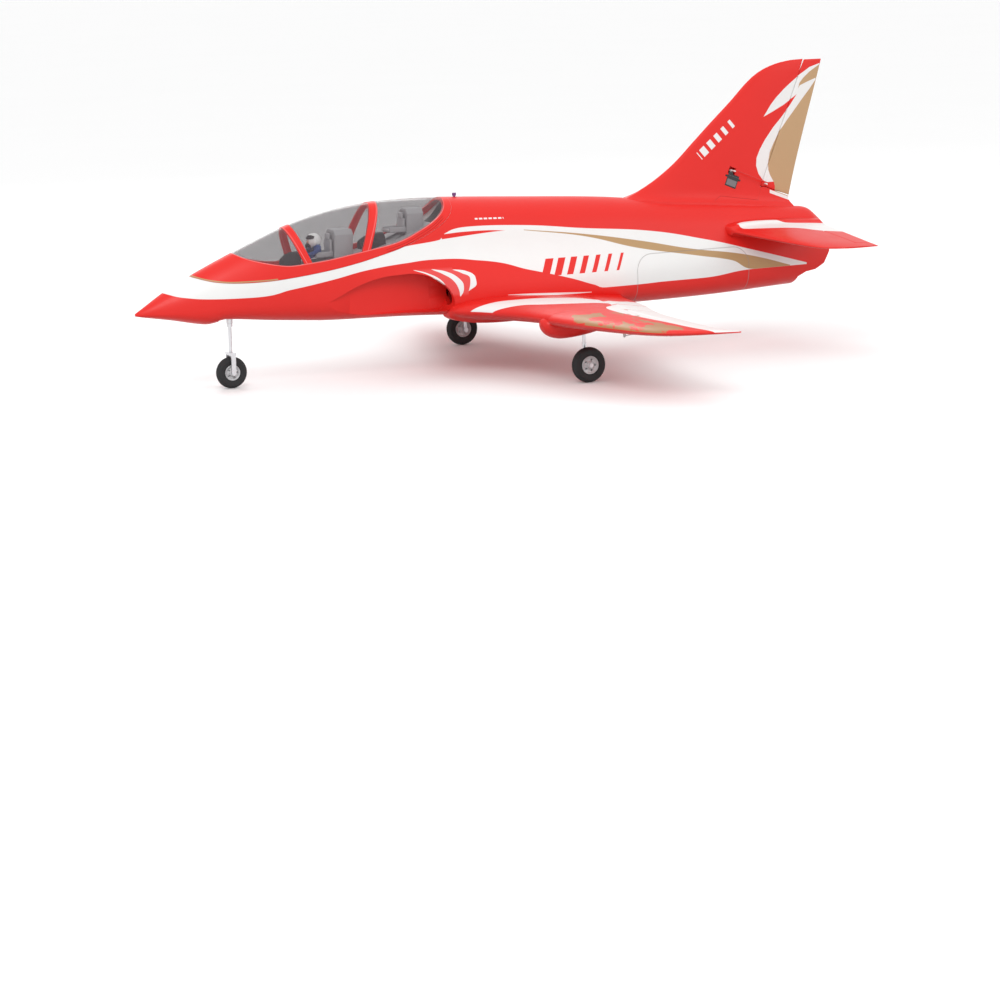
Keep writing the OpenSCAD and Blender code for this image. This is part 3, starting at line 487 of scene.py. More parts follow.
def pod():
    rings = []
    a = np.radians(-90 + 360 * np.arange(40) / 40)
    for x in np.concatenate([np.arange(622, 634, 2), np.arange(634, 779, 4)]):
        half, lo, hi = (curve(x, list(zip(POD[0], t))) for t in POD[1:])
        rings.append(ring(x, POD_Y + half * np.cos(a), lo + (hi - lo) * (1 + np.sin(a)) / 2))
    return loft("pod", rings)


def wheel_well():
    """The room for a folded main wheel, its leg and its retract unit."""
    return [
        bar("well", -90, -20.5, 33.5, (GEAR_X, STOWED_Y, 0), "Z"),
        box("well", (GEAR_X - 7, GEAR_X + 7), (STOWED_Y - 8, PIVOT_Y + 7), (-90, -11.8)),
        box("well", (GEAR_X - 17, GEAR_X + 17), (PIVOT_Y - 10, PIVOT_Y + 30), (-36, -10.6)),
        box("well", (GEAR_X - 7, GEAR_X + 7), (PIVOT_Y - 20, PIVOT_Y + 7), (-90, -30)),
    ]


def wing():
    ys = np.concatenate([np.arange(93.2, 286, 7), [286, 290], np.arange(296, 560, 7),
                         [561, 566, 571, 576, 581, 584, 587, 589, 590]])
    o = loft("wing_skin_right", [wing_ring(y) for y in ys])
    carve(o, [pod()], "UNION")
    carve(o, wheel_well() + [behind(FLAP_HINGE, 900), behind(AILERON_HINGE, 900)]
          + pockets(FLAP_AT, FLAP_LINK) + pockets(AILERON_AT, AILERON_LINK))
    return smooth(o, 40)


def surface(name, h, plan=wing_plan, z=WING_Z, at=None):
    ys = np.linspace(h[0][1] + END_GAP, h[1][1] - END_GAP, 30)
    rings = [lift(nose_ring(hinge_x(h, y), hinge_r(h, y), *plan(y)), y, z) for y in ys]
    if at is not None:
        rings = [[tuple(at @ Vector(p)) for p in r] for r in rings]
    return smooth(soften(loft(name, rings), 0.7, 2, 60), 32)


def horn(name, at, link, skin):
    """A moulded control horn with its hole, on the arm's side of the hinge."""
    a = np.radians(np.linspace(-8, -172, 14))
    tip = [(2.4 * math.cos(t), -link[2] + 2.4 * math.sin(t)) for t in a]
    outline = tip + [(1, -skin + 3), (11, -skin + 3.5)]
    rings = [[(x, y, z) for x, y in outline] for z in (-1, 1)]
    n = len(outline)
    faces = [(k, (k + 1) % n, n + (k + 1) % n, n + k) for k in range(n)]
    faces += [tuple(range(n))[::-1], tuple(range(n, 2 * n))]
    plate = make(name, np.reshape(rings, (-1, 3)), faces, scaled=False)
    hole = bar("hole", -2, 2, 1.0, (0, 0, 0), "Z", 24)
    move(hole, Matrix.Translation((0, -link[2], 0)) @ ROW.inverted())
    carve(plate, [hole])
    move(plate, ROW @ at)
    return smooth(soften(plate, 0.25), 35)


wing_right = wing()
flap_right = surface("flap_skin_right", FLAP_HINGE)
aileron_right = surface("aileron_skin_right", AILERON_HINGE)


# The rudder's foot and tip at the hinge line, and how its foot falls away aft
RUDDER_LOW, RUDDER_HIGH, FOOT_SLOPE = 146, 371, -0.37
FOOT_X = rudder_x(RUDDER_LOW)


def fin_ring(z):
    p = ring(*section(curve(z, FIN_LEAD), curve(z, FIN_TRAIL), curve(z, FIN_THICK)).T, z)
    return fillet(p, 1, 0, z + 3 - curve(p[:, 0], TOP), 9, 5.5)


def rudder_ring(z):
    tilt, x0 = FOOT_SLOPE * ((RUDDER_HIGH - z) / 225) ** 2, rudder_x(z)
    p = nose_ring(x0, curve(z, RUDDER_NOSE), curve(z, FIN_LEAD), curve(z + tilt * 50, FIN_TRAIL),
                  curve(z, FIN_THICK))
    return ring(p[:, 0], p[:, 1], z + tilt * np.maximum(0, p[:, 0] - x0 - 4))


fin_z = np.concatenate([np.arange(104, 160, 2.5), np.arange(161, 350, 7), np.arange(350, 366, 3),
                        [366, 368, 370, 371, 372]])
fin = loft("fin_skin", [fin_ring(z) for z in fin_z])
carve(fin, [hull(-0.05, 72, 8), prism("room", [
    (FOOT_X - 5.9, RUDDER_LOW), (rudder_x(RUDDER_HIGH) - 3.4, 375), (1340, 375),
    (1340, RUDDER_LOW + FOOT_SLOPE * (1340 - FOOT_X)), (FOOT_X + 4, RUDDER_LOW)])]
    + pockets(RUDDER_AT, RUDDER_LINK))
smooth(fin, 40)
rudder_z = np.concatenate([np.linspace(147, 362, 36), [365, 368, RUDDER_HIGH]])
rudder = loft("rudder_skin", [rudder_ring(z) for z in rudder_z])
smooth(soften(rudder, 0.7, 2, 60), 32)


def stab_ring(y):
    p = section(*stab_plan(y))
    fillet(p, 1, 0, y + 3 - curve(p[:, 0], WIDTH), 5, 4)
    return [tuple(STAB @ Vector(q)) for q in lift(p, y, 0)]


stab_y = np.concatenate([np.arange(20, 80, 2.5), np.arange(80, 200, 6), np.arange(200, 230, 4),
                         [230, 232, 234, 235, 236]])
stab = loft("stabiliser_skin_right", [stab_ring(y) for y in stab_y])
slab = move(behind(STAB_HINGE, 1330), ROW @ STAB @ ROW.inverted())
carve(stab, [hull(-0.1, 72, 8), slab] + pockets(ELEVATOR_AT, ELEVATOR_LINK))
smooth(stab, 40)
elevator = surface("elevator_skin_right", STAB_HINGE, stab_plan, 0, STAB)
horns = [
    (horn("flap_horn_right", FLAP_AT, FLAP_LINK, 8), "flap"),
    (horn("aileron_horn_right", AILERON_AT, AILERON_LINK, 8), "aileron"),
    (horn("elevator_horn_right", ELEVATOR_AT, ELEVATOR_LINK, 4.2), "elevator"),
]
rudder_horn = horn("rudder_horn", RUDDER_AT, RUDDER_LINK, 5)

# ---------------------------------------------------------------- material tools


class V:
    """A value in a node tree. Arithmetic on it adds Math nodes."""

    def __init__(self, tree, socket):
        self.tree, self.socket = tree, socket

    def op(self, kind, *others):
        n = self.tree.nodes.new("ShaderNodeMath")
        n.operation = kind
        for slot, v in zip(n.inputs, (self, *others)):
            if isinstance(v, V):
                self.tree.links.new(v.socket, slot)
            else:
                slot.default_value = v
        return V(self.tree, n.outputs[0])

    def __add__(self, v):
        return self.op("ADD", v)

    def __sub__(self, v):
        return self.op("SUBTRACT", v)

    def __rsub__(self, v):
        return (self * -1) + v

    def __mul__(self, v):
        return self.op("MULTIPLY", v)

    def __truediv__(self, v):
        return self.op("DIVIDE", v)

    __radd__, __rmul__ = __add__, __mul__

    def abs(self):
        return self.op("ABSOLUTE")

    def clamp(self):
        n = self.op("ADD", 0.0)
        n.socket.node.use_clamp = True
        return n

    def past(self, limit=0.0, soft=0.7):
        """0 before the limit and 1 past it, with an edge as wide as soft."""
        return ((self - limit) / soft + 0.5).clamp()

    def between(self, low, high, soft=0.7):
        return self.past(low, soft) * (high - self).past(0, soft)

    def near(self, centre, half, soft=0.5):
        return (half - (self - centre).abs()).past(0, soft)

    def look(self, table, straight=False):
        """The value on a curve through [this, result]."""
        t = sorted(table)
        xs, ys = [p[0] for p in t], [p[1] for p in t]
        low, high = min(ys), max(max(ys), min(ys) + 1e-3)
        n = self.tree.nodes.new("ShaderNodeFloatCurve")
        c = n.mapping.curves[0]
        n.mapping.extend = "HORIZONTAL"
        for k, (x, y) in enumerate(t):
            at = ((x - xs[0]) / (xs[-1] - xs[0]), (y - low) / (high - low))
            if k < 2:
                c.points[k].location = at
            else:
                c.points.new(*at)
        for p in c.points:
            p.handle_type = "VECTOR" if straight else "AUTO_CLAMPED"
        n.mapping.update()
        self.tree.links.new(((self - xs[0]) / (xs[-1] - xs[0])).clamp().socket, n.inputs["Value"])
        return V(self.tree, n.outputs[0]) * (high - low) + low


class Finish:
    """A material under construction: a principled shader and the station coordinates."""

    def __init__(self, name, metal=0.0, coat=0.0, alpha=1.0, specular=0.5):
        self.m = bpy.data.materials.new(name)
        self.m.use_nodes = True
        self.tree = self.m.node_tree
        self.shader = self.tree.nodes["Principled BSDF"]
        for socket, value in (("Metallic", metal), ("Coat Weight", coat), ("Coat Roughness", 0.12),
                              ("Alpha", alpha), ("Specular IOR Level", specular)):
            self.shader.inputs[socket].default_value = value
        places = self.node("TexCoord").outputs
        self.co = places["Object"]
        x, y, z = self.parts(self.co)
        self.x, self.y, self.z = x * 1000 + LENGTH / 2, y * 1000, z * 1000 - NOSE_HEIGHT
        self.side = self.y.abs()
        self.facing_up = self.parts(places["Normal"])[2]
        self.bumps = None

    def node(self, kind, settings=None, **inputs):
        """A new node, with each input set to a value or linked from a socket."""
        n = self.tree.nodes.new("ShaderNode" + kind)
        for name, value in (settings or {}).items():
            setattr(n, name, value)
        for name, value in inputs.items():
            if isinstance(value, bpy.types.NodeSocket):
                self.tree.links.new(value, n.inputs[name])
            else:
                n.inputs[name].default_value = value
        return n

    def parts(self, vector):
        return [V(self.tree, o) for o in self.node("SeparateXYZ", Vector=vector).outputs]

    def into(self, socket, name):
        """Links a socket to one of the shader's own."""
        self.tree.links.new(socket, self.shader.inputs[name])
        return self

    def noise(self, scale, detail=3.0, rough=0.55, stretch=None):
        at = self.co
        if stretch:
            at = self.node("Mapping", Scale=stretch, Vector=at).outputs[0]
        n = self.node("TexNoise", Scale=scale, Detail=detail, Roughness=rough, Vector=at)
        return V(self.tree, n.outputs["Fac"])

    def cells(self, scale, feature="DISTANCE_TO_EDGE"):
        n = self.node("TexVoronoi", {"feature": feature}, Scale=scale, Vector=self.co)
        return V(self.tree, n.outputs["Distance"])

    def colour(self, base, *layers, tone=0.05, tone_scale=9.0):
        """The base colour, each (mask, colour) laid over it, and a slow change of tone."""
        last = (*base, 1)
        for mask, c in layers:
            n = self.node("Mix", {"data_type": "RGBA"}, Factor=mask.socket, A=last, B=(*c, 1))
            last = n.outputs["Result"]
        v = (self.noise(tone_scale, 4) - 0.5) * (2 * tone) + 1
        return self.into(self.node("HueSaturation", Color=last, Value=v.socket).outputs[0], "Base Color")

    def rough(self, value, change=0.1, scale=60.0):
        r = (self.noise(scale, 3) - 0.5) * (2 * change) + value
        return self.into(r.clamp().socket, "Roughness")

    def bump(self, height, depth_mm, strength=1.0):
        """Relief on top of what is there already."""
        below = {"Normal": self.bumps} if self.bumps else {}
        n = self.node("Bump", Strength=strength, Distance=depth_mm / 1000, Height=height.socket, **below)
        self.bumps = n.outputs[0]
        return self.into(self.bumps, "Normal")


RED, DEEP_RED, WHITE = (0.72, 0.017, 0.012), (0.38, 0.010, 0.008), (0.80, 0.80, 0.79)
TAN, GOLD, WORN = (0.50, 0.32, 0.17), (0.45, 0.28, 0.13), (0.36, 0.22, 0.09)
PINK, SEAM = (0.85, 0.20, 0.20), (0.30, 0.28, 0.27)

WHITE_LOW = [(47, 34), (84, 25), (128, 21), (187, 20), (259, 29), (332, 41), (404, 55), (465, 62),
             (513, 65), (592, 59), (686, 37), (764, 17), (811, 2), (835, -4), (901, -4), (955, -3),
             (1026, -3), (1145, 5), (1253, 5)]
WHITE_TOP = [(47, 35), (93, 62), (130, 53), (171, 48), (225, 48), (280, 53), (338, 62), (344, 64),
             (405, 73), (463, 89), (530, 97.5), (536, 106), (592, 116), (673, 113), (809, 99),
             (914, 89), (1041, 65), (1138, 40), (1255, 8)]
NOTCH_LOW, NOTCH_TOP = [(530, 97.5), (620, 104), (652, 105.5)], [(536, 106), (592, 108), (652, 105.5)]
GOLD_LOW = [(687, 103.5), (794, 87.5), (909, 58), (1020, 38), (1094, 24), (1145, 5), (1220, 5)]
GOLD_TOP = [(687, 104.5), (794, 91), (911, 71), (1016, 49.5), (1104, 36), (1150, 26), (1220, 6)]
# Strokes behind each intake, as (z, x): the edge towards the nose, then the one away from it
STROKES = [
    ([(49.4, 473.6), (38.6, 501.2), (28.5, 514.3), (16.4, 522.8), (1.8, 528.2), (-1, 533.5)],
     [(50.2, 473.7), (43.4, 497), (30.5, 519.5), (13.6, 530.1), (-1, 534.5)]),
    ([(49.1, 505.1), (39.5, 525.7), (27.9, 541.6), (12.4, 549.8), (1, 551.4)],
     [(49.8, 505.3), (43.8, 531.6), (33.4, 549.8), (18.9, 558.9), (8, 557.2), (0.4, 551.9)]),
    ([(46.6, 542.3), (39.8, 558.5), (29.6, 572.1), (20.5, 570.8), (8.8, 567)],
     [(47.2, 542.5), (42.9, 566.9), (33.7, 581.5), (22.1, 582.7), (8.8, 567.2)]),
]


def painted(part):
    return Finish("painted_foam_" + part, coat=0.05, specular=0.32)


def foam(f, *layers):
    """Red satin paint with its scheme over moulded foam: faint beads, and a slow ripple."""
    f.colour(RED, *layers, tone=0.035)
    f.bump(f.noise(11, 2), 0.3, 0.25)
    f.bump(f.cells(260, "SMOOTH_F1"), 0.05, 0.3)
    return f.rough(0.40, 0.06, 45).m


def body_paint():
    f = painted("body")
    x, z, side = f.x, f.z, f.side
    notch = x.between(532, 652) * z.between(x.look(NOTCH_LOW), x.look(NOTCH_TOP))
    white = x.between(47, 1255) * z.between(x.look(WHITE_LOW), x.look(WHITE_TOP)) * (1 - notch)
    gold = x.between(687, 1219) * z.between(x.look(GOLD_LOW), x.look(GOLD_TOP))
    streak = x.between(640, 803) * z.near(x.look([(640, -2.5), (770, -9), (803, -10)]), x.look(
        [(640, 0.3), (720, 1.9), (803, 0.5)]))
    layers = [(white, WHITE), (gold, GOLD), (streak, WHITE)]
    on_side = side.past(66)
    for near, far in STROKES:
        low, high = min(p[0] for p in near), max(p[0] for p in near)
        stroke = z.between(low, high) * x.between(z.look(near), z.look(far)) * on_side
        layers.append((stroke, WHITE))
    inside = z.between(4, 49, 5) * x.between(z.look(STROKES[0][1]), z.look(STROKES[2][0])) * on_side
    layers.insert(2, (inside * 0.3, PINK))
    # Plain slanted bars where the photograph's markings are, and a dash behind the canopy
    slant = x - 0.5 * (z - 38)
    pitch = ((slant - 712) / 24).op("FRACT")
    bar = slant.between(712, 880) * z.between(24, 53) * pitch.near(0.36, slant.look(
        [(712, 0.34), (880, 0.10)]), 0.03)
    layers.append((bar, RED))
    dash = z.near(128 - 0.03 * (x - 600), 1.3) * x.between(598, 652) * (x / 9).op("FRACT").past(0.3, 0.1)
    layers.append((dash, WHITE))
    # The equipment cover's outline on the side
    half_x, half_z, r = 116.5, 53.5, 32.0
    dx = ((x - 1013.5).abs() - (half_x - r)).op("MAXIMUM", 0.0)
    dz = ((z + 6.5).abs() - (half_z - r)).op("MAXIMUM", 0.0)
    rim = (dx * dx + dz * dz).op("SQRT") - r
    layers.append((rim.near(0, 0.55) * 0.6, SEAM))
    mould = side.near(0, 0.25) * z.past(60)
    layers.append((mould * 0.4, DEEP_RED))
    f.bump(rim.near(0, 0.8, 0.8), -0.4)
    return foam(f, *layers)


def bare_foam():
    """Unpainted foam: beads pressed together."""
    f = Finish("bare_foam", specular=0.3)
    beads = f.cells(330)
    f.colour((0.66, 0.66, 0.64), (0.35 - beads.past(0.08, 0.1) * 0.35, (0.38, 0.38, 0.37)), tone=0.04)
    return f.rough(0.7).bump(beads, 0.2, 0.6).m


def hatch_paint():
    f = painted("hatch")
    x, z = f.x, f.z
    line = x.between(93, 238) * (z - x.look(HATCH_LINE)).near(2.2, 1.1)
    over_rim = z - x.look(RIM_LINE)
    edges = over_rim.near(-0.4, 0.7) * x.between(172, 556)
    for (x0, z0), (x1, z1) in (FRONT_BOW, REAR_BOW):
        off = (x - ((z - z0) * ((x1 - x0) / (z1 - z0)) + x0)).abs()
        edges = edges.op("MAXIMUM", off.near(BOW_W / 2 - 0.4, 0.6) * over_rim.past(0))
    # Two grooves under the rear window: a dent in the bump, and a deep red line in them that is painted
    # shade
    groove = x.between(432, 540) * (over_rim.near(-6, 0.4) + over_rim.near(-10, 0.4))
    f.bump(groove, -0.5)
    return foam(f, (line, GOLD), (edges * 0.75, PINK), (groove * 0.6, DEEP_RED))


def wing_paint():
    f = painted("wing")
    x, y, top = f.x, f.side, f.z.past(WING_Z + 0.5, 1.0) * f.facing_up.past(0, 0.1)
    inner = x.look([(555, 112), (566, 118), (586, 123), (608, 127), (650, 139), (708, 143), (745, 149),
                    (767, 165), (800, 180), (833, 166)])
    outer = x.look([(555, 112), (572, 130), (586, 150), (600, 162), (630, 183), (657, 210), (678, 223),
                    (707, 228), (755, 222), (800, 225), (833, 226)])
    band = x.past(555) * y.between(inner, outer)
    sliver = x.between(682, 758) * y.near(x.look([(682, 95), (716, 125), (758, 145)]),
                                          x.look([(682, 0.3), (716, 3), (758, 1.5)]))
    strip = y.past(228) * x.past(y.look([(228, 775), (251, 761), (322, 728), (405, 738), (485, 755),
                                         (561, 773), (590, 800)]))
    patch = x.between(640, 757, 24) * y.between(330, 545, 40) * 0.3
    patch = (f.noise(20, 4, 0.55, (1, 0.5, 1)) + patch).past(0.76, 0.03)
    return foam(f, (band * top, WHITE), (sliver * top, WHITE), (strip * top, WHITE),
                (patch * top * 0.9, WORN))


FIN_SLIVER = ([(363, 1309), (357, 1288), (346, 1269), (332, 1249), (320, 1233), (305, 1216),
               (293, 1205), (272, 1190)],
              [(361, 1309), (349, 1288), (338, 1274), (329, 1266), (322, 1264), (314, 1262),
               (309, 1260), (292, 1233), (281, 1210), (272, 1190)])
FIN_BAND = ([(337, 1301), (331, 1283), (325, 1267), (316, 1261), (309, 1260), (288, 1244),
             (269, 1227), (252, 1210), (231, 1193), (214, 1182), (199, 1175), (185, 1174),
             (170, 1179), (160, 1187), (153, 1196)],
            [(337, 1301), (334, 1301), (318, 1288), (303, 1274), (287, 1260), (262, 1238),
             (241, 1221), (222, 1210), (208, 1203), (193, 1200), (176, 1200), (166, 1204), (153, 1212)])
TAN_EDGE = [(362, 1309), (349, 1288), (338, 1274), (329, 1266), (319, 1263), (317, 1287), (303, 1274),
            (287, 1260), (262, 1238), (241, 1221), (222, 1210), (208, 1203), (193, 1200), (176, 1200),
            (166, 1204), (153, 1212), (146, 1214), (120, 1214)]


def fin_paint():
    f = painted("fin")
    x, z = f.x, f.z
    foot = z + -FOOT_SLOPE * (x - FOOT_X) - RUDDER_LOW
    tan = x.past(z.look(TAN_EDGE, True)) * (361 - z).past() * foot.past(-0.4)
    sliver = z.between(272, 363) * x.between(z.look(FIN_SLIVER[0], True), z.look(FIN_SLIVER[1], True))
    band = z.between(154, 337) * x.between(z.look(FIN_BAND[0], True), z.look(FIN_BAND[1], True))
    strip = foot.between(-6.5, -0.4) * x.past(1203)
    # Plain slanted bars along the leading edge
    along = (x - 1060) * 0.77 + (z - 215) * 0.64
    across = (z - 215) * 0.77 - (x - 1060) * 0.64
    bars = along.between(-6, 84) * across.between(-12, 4) * (along / 18).op("FRACT").near(0.4, along.look(
        [(-6, 0.36), (84, 0.16)]), 0.04)
    seam = x.between(1083, 1187) * z.near(x.look([(1083, 112), (1085, 128), (1098, 135), (1177, 123),
                                                  (1187, 150)], True), 0.35)
    f.bump(seam, -0.3)
    return foam(f, (tan, TAN), (sliver, WHITE), (band, WHITE), (strip, WHITE), (bars, WHITE),
                (seam * 0.6, DEEP_RED))


def stab_paint():
    f = painted("stabiliser")
    x, c, s = f.x, math.cos(DROOP), math.sin(DROOP)
    y = f.side * c - (f.z - STAB_Z) * s
    top = ((f.z - STAB_Z) * c + f.side * s).past(0.3, 0.8)
    stripe = x.past(1108) * y.between(
        x.look([(1110, 52), (1125, 47), (1153, 46), (1180, 46), (1220, 54), (1260, 52), (1292, 50)]),
        x.look([(1110, 54), (1114, 68), (1135, 79), (1159, 85), (1209, 93), (1251, 116), (1292, 120)]))
    return foam(f, (stripe * top, WHITE))


def stuff(name, colour, rough=0.5, metal=0.0, grain=900.0, depth=0.05, tone=0.08, coat=0.0, stretch=None):
    """A plain moulded, cast or drawn material: slow tone, uneven gloss and a fine grain."""
    f = Finish(name, metal, coat)
    f.colour(colour, tone=tone, tone_scale=40).rough(rough, 0.12, 250)
    return f.bump(f.noise(grain, 3, 0.6, stretch), depth, 0.6).m


def glass_finish():
    f = Finish("canopy_tint", alpha=0.33, coat=0.3)
    f.colour((0.07, 0.055, 0.062), tone=0.03).rough(0.06, 0.03, 30)
    f.m.surface_render_method = "BLENDED"
    return f.bump(f.noise(14, 2), 0.3, 0.3).m


def wood():
    f = Finish("birch_ply")
    grain = f.noise(30, 6, 0.6, (0.06, 1, 1))
    f.colour((0.62, 0.43, 0.24), (grain.past(0.55, 0.2) * 0.6, (0.45, 0.28, 0.14)), tone=0.08)
    return f.rough(0.7).bump(grain, 0.1).m


def carbon():
    f = Finish("carbon_weave", coat=0.8)
    u, v = (f.y / 1.6).op("FRACT"), ((f.x + f.z) / 1.6).op("FRACT")
    weave = (u - v).abs().near(0.5, 0.25, 0.1)
    f.colour((0.012, 0.012, 0.013), (weave, (0.045, 0.045, 0.048)))
    return f.rough(0.4, 0.05).bump(weave, 0.05).m


def wrapped(name, colour, label, x0, x1):
    """A case in shrink wrap, with a blank label from x0 to x1."""
    f = Finish(name, coat=0.4)
    f.colour(colour, (f.x.between(x0, x1) * f.side.past(-1), label),
             (f.x.near(x0 + 4, 0.5) * 0.8, colour), tone=0.06)
    return f.rough(0.3, 0.08).bump(f.noise(120, 4), 0.3, 0.5).m


M = {
    "body": body_paint(), "bare": bare_foam(), "hatch": hatch_paint(), "wing": wing_paint(),
    "fin": fin_paint(), "stab": stab_paint(), "glass": glass_finish(), "wood": wood(), "carbon": carbon(),
    "battery": wrapped("battery_wrap", (0.02, 0.06, 0.30), (0.70, 0.70, 0.72), 400, 460),
    "controller": wrapped("controller_wrap", (0.02, 0.02, 0.022), (0.30, 0.31, 0.33), 560, 590),
    "receiver": wrapped("receiver_case", (0.02, 0.02, 0.022), (0.55, 0.56, 0.58), 545, 560),
    "grey": stuff("cockpit_moulding", (0.46, 0.46, 0.47), 0.55, grain=500),
    "dark": stuff("coaming_black", (0.025, 0.025, 0.028), 0.6, grain=1300, depth=0.08),
    "suit": stuff("flight_suit", (0.035, 0.09, 0.30), 0.85, grain=2600, depth=0.12),
    "helmet": stuff("helmet_shell", (0.93, 0.93, 0.92), 0.22, coat=0.5, tone=0.03),
    "visor": stuff("visor_tint", (0.012, 0.012, 0.014), 0.12, coat=0.6),
    "skin": stuff("face_paint", (0.72, 0.42, 0.30), 0.6, tone=0.06),
    "harness": stuff("harness_web", (0.10, 0.10, 0.09), 0.8, grain=3000, depth=0.1),
    "duct": stuff("duct_plastic", (0.035, 0.035, 0.038), 0.42, grain=1100),
    "fan": stuff("fan_nylon", (0.020, 0.020, 0.022), 0.4, grain=1500),
    # The intake ducts: red foam, made darker than the body's red as painted shade for the deep throats
    "intake": stuff("intake_red_with_painted_shade", (0.40, 0.012, 0.010), 0.5, grain=400, depth=0.1),
    "motor": stuff("motor_alloy", (0.62, 0.62, 0.65), 0.34, 1.0, 700, 0.02, stretch=(0.1, 1, 1)),
    "servo": stuff("servo_case", (0.018, 0.018, 0.020), 0.38, grain=1600),
    "label": stuff("servo_label", (0.17, 0.17, 0.18), 0.35, grain=300, depth=0.01),
    "arm": stuff("arm_nylon", (0.80, 0.80, 0.78), 0.42, grain=900),
    "rod_red": stuff("rod_red_anodised", (0.62, 0.03, 0.025), 0.38, 0.1, 1200, 0.02),
    "steel": stuff("rod_steel", (0.60, 0.60, 0.62), 0.28, 1.0, 1500, 0.02),
    "strut": stuff("strut_alloy", (0.66, 0.66, 0.68), 0.34, 1.0, 900, 0.03, stretch=(1, 1, 0.1)),
    "hub": stuff("hub_moulding", (0.52, 0.52, 0.53), 0.4, 0.25, grain=800),
    "tyre": stuff("tyre_rubber", (0.016, 0.016, 0.017), 0.78, grain=1700, depth=0.15, tone=0.2),
    "unit": stuff("retract_case", (0.022, 0.022, 0.025), 0.5, grain=1400),
    "latch": stuff("latch_purple", (0.16, 0.06, 0.20), 0.36, 0.5, grain=1200),
    "rubber": stuff("lead_sheath", (0.02, 0.02, 0.02), 0.6, grain=1000),
}

# ---------------------------------------------------------------- cockpit
TUB = [[196, 66], [238, 62], [264, 61], [291, 62], [333, 66], [375, 72], [407, 77.5], [453, 90.5],
       [494, 107], [524, 124.5]]


def inside_hatch(o, inset=6.4):
    return carve(o, [hull(inset, 72, 10)], "INTERSECT")


def tub():
    xs = np.linspace(196, 524, 60)
    zs = curve(xs, TUB)
    floor = prism("floor", list(zip(xs, zs)) + list(zip(xs[::-1], zs[::-1] - 3)))
    parts = [inside_hatch(floor)]
    for s in (-1, 1):
        # A side console with a rounded top edge along each cockpit
        for x0, x1, rise in ((292, 372, 5), (420, 494, 4)):
            xc = np.linspace(x0, x1, 20)
            zc = curve(xc, TUB)
            side = sorted((s * 20.5, s * 60))
            o = prism("console", list(zip(xc, zc + rise)) + list(zip(xc[::-1], zc[::-1] + 0.2)), *side)
            parts.append(soften(inside_hatch(o, 6.8), 0.8, 2))
    return smooth(join("cockpit_floor", parts), 35)


def bulkhead(name, x, length, low, high, half, lean):
    """The hollow moulded box behind a seat, with chamfered shoulders and a recessed front."""
    outline = [(-half, low), (half, low), (half, high - 8), (half - 9, high), (-half + 9, high),
               (-half, high - 8)]
    rings = [[(x + t + (v - low) * lean, y, v) for y, v in outline] for t in (0, length)]
    o = soften(loft(name, rings), 1.0, 3)
    inner = [(y * 0.84, low + 4 + (v - low - 4) * 0.9) for y, v in outline]
    cut = loft("cut", [[(x + t + (v - low) * lean, y, v) for y, v in inner] for t in (-3, 1.6)])
    return carve(o, [cut])


def seat(x, z, h):
    def pad(xs, ys, zs, b):
        return box("pad", xs, ys, zs, b, 4)

    parts = [pad((x, x + 5), (-15, 15), (z + 1, z + h - 16), 2.2),
             pad((x - 27, x + 1), (-15, 15), (z + 0.5, z + 6), 2.4),
             pad((x - 1, x + 5), (-8, 8), (z + h - 17, z + h - 6), 2.4)]
    for s in (-1, 1):
        parts.append(pad((x - 26, x + 5), sorted((s * 14, s * 17)), (z + 1, z + 10), 1.2))
    return parts


seats = smooth(join("ejection_seats", seat(345, 75, 46) + seat(480, 108.6, 40)), 40)
walls = smooth(join("cockpit_bulkheads", [bulkhead("b", 349, 33, 68, 121, 24, 0.06),
                                          bulkhead("b", 484, 30, 104, 149, 21, 0.06)]), 40)
tub_piece = tub()


def coaming(x0, x1, low, high, half):
    """A hooded instrument panel: a curved cowl over a recessed face."""
    a = np.radians(np.arange(0, 181, 9))
    rings = []
    for t, grow in ((0, 0.55), (0.25, 0.8), (0.6, 0.95), (1.0, 1.0)):
        rings.append([(x0 + (x1 - x0) * t, half * grow * math.cos(k),
                       low + (high - low) * grow * max(0.0, math.sin(k)) ** 0.6) for k in a])
    hood = loft("hood", rings)
    face = loft("cut", [[(x, half * 0.86 * math.cos(k), low + 1.5 + (high - low) * 0.8
                          * max(0.0, math.sin(k)) ** 0.6) for k in a] for x in (x1 - 4, x1 + 1)])
    return carve(hood, [face])


def dials(x, low, high, half):
    parts = []
    for j, rise in enumerate((0.30, 0.62)):
        count = 5 - 2 * j
        for i in range(count):
            y = (i - (count - 1) / 2) * half * 0.36
            z = low + (high - low) * rise
            rim = [(-1, 2.0), (0.6, 2.0), (0.9, 1.7), (0.9, 1.4), (0.4, 1.3), (0.4, 0.01), (-1, 0.01)]
            parts.append(lathe("dial", rim, (x, y, z), "X", 24))
    return parts


hoods = smooth(join("panel_hoods", [coaming(262, 290, 65, 88, 21), coaming(404, 446, 84, 111, 19)]), 35)
gauges = smooth(join("panel_gauges", dials(286.6, 66, 88, 21) + dials(442.6, 92, 111, 17)), 35)


def ball(name, centre, radii, segments=40):
    rings = []
    t = 2 * np.pi * np.arange(segments) / segments
    for k in range(1, segments // 2):
        a = math.pi * k / (segments // 2)
        rings.append(ring(centre[0] + radii[0] * math.sin(a) * np.cos(t),
                          centre[1] + radii[1] * math.sin(a) * np.sin(t),
                          centre[2] + radii[2] * math.cos(a)))
    return loft(name, rings)


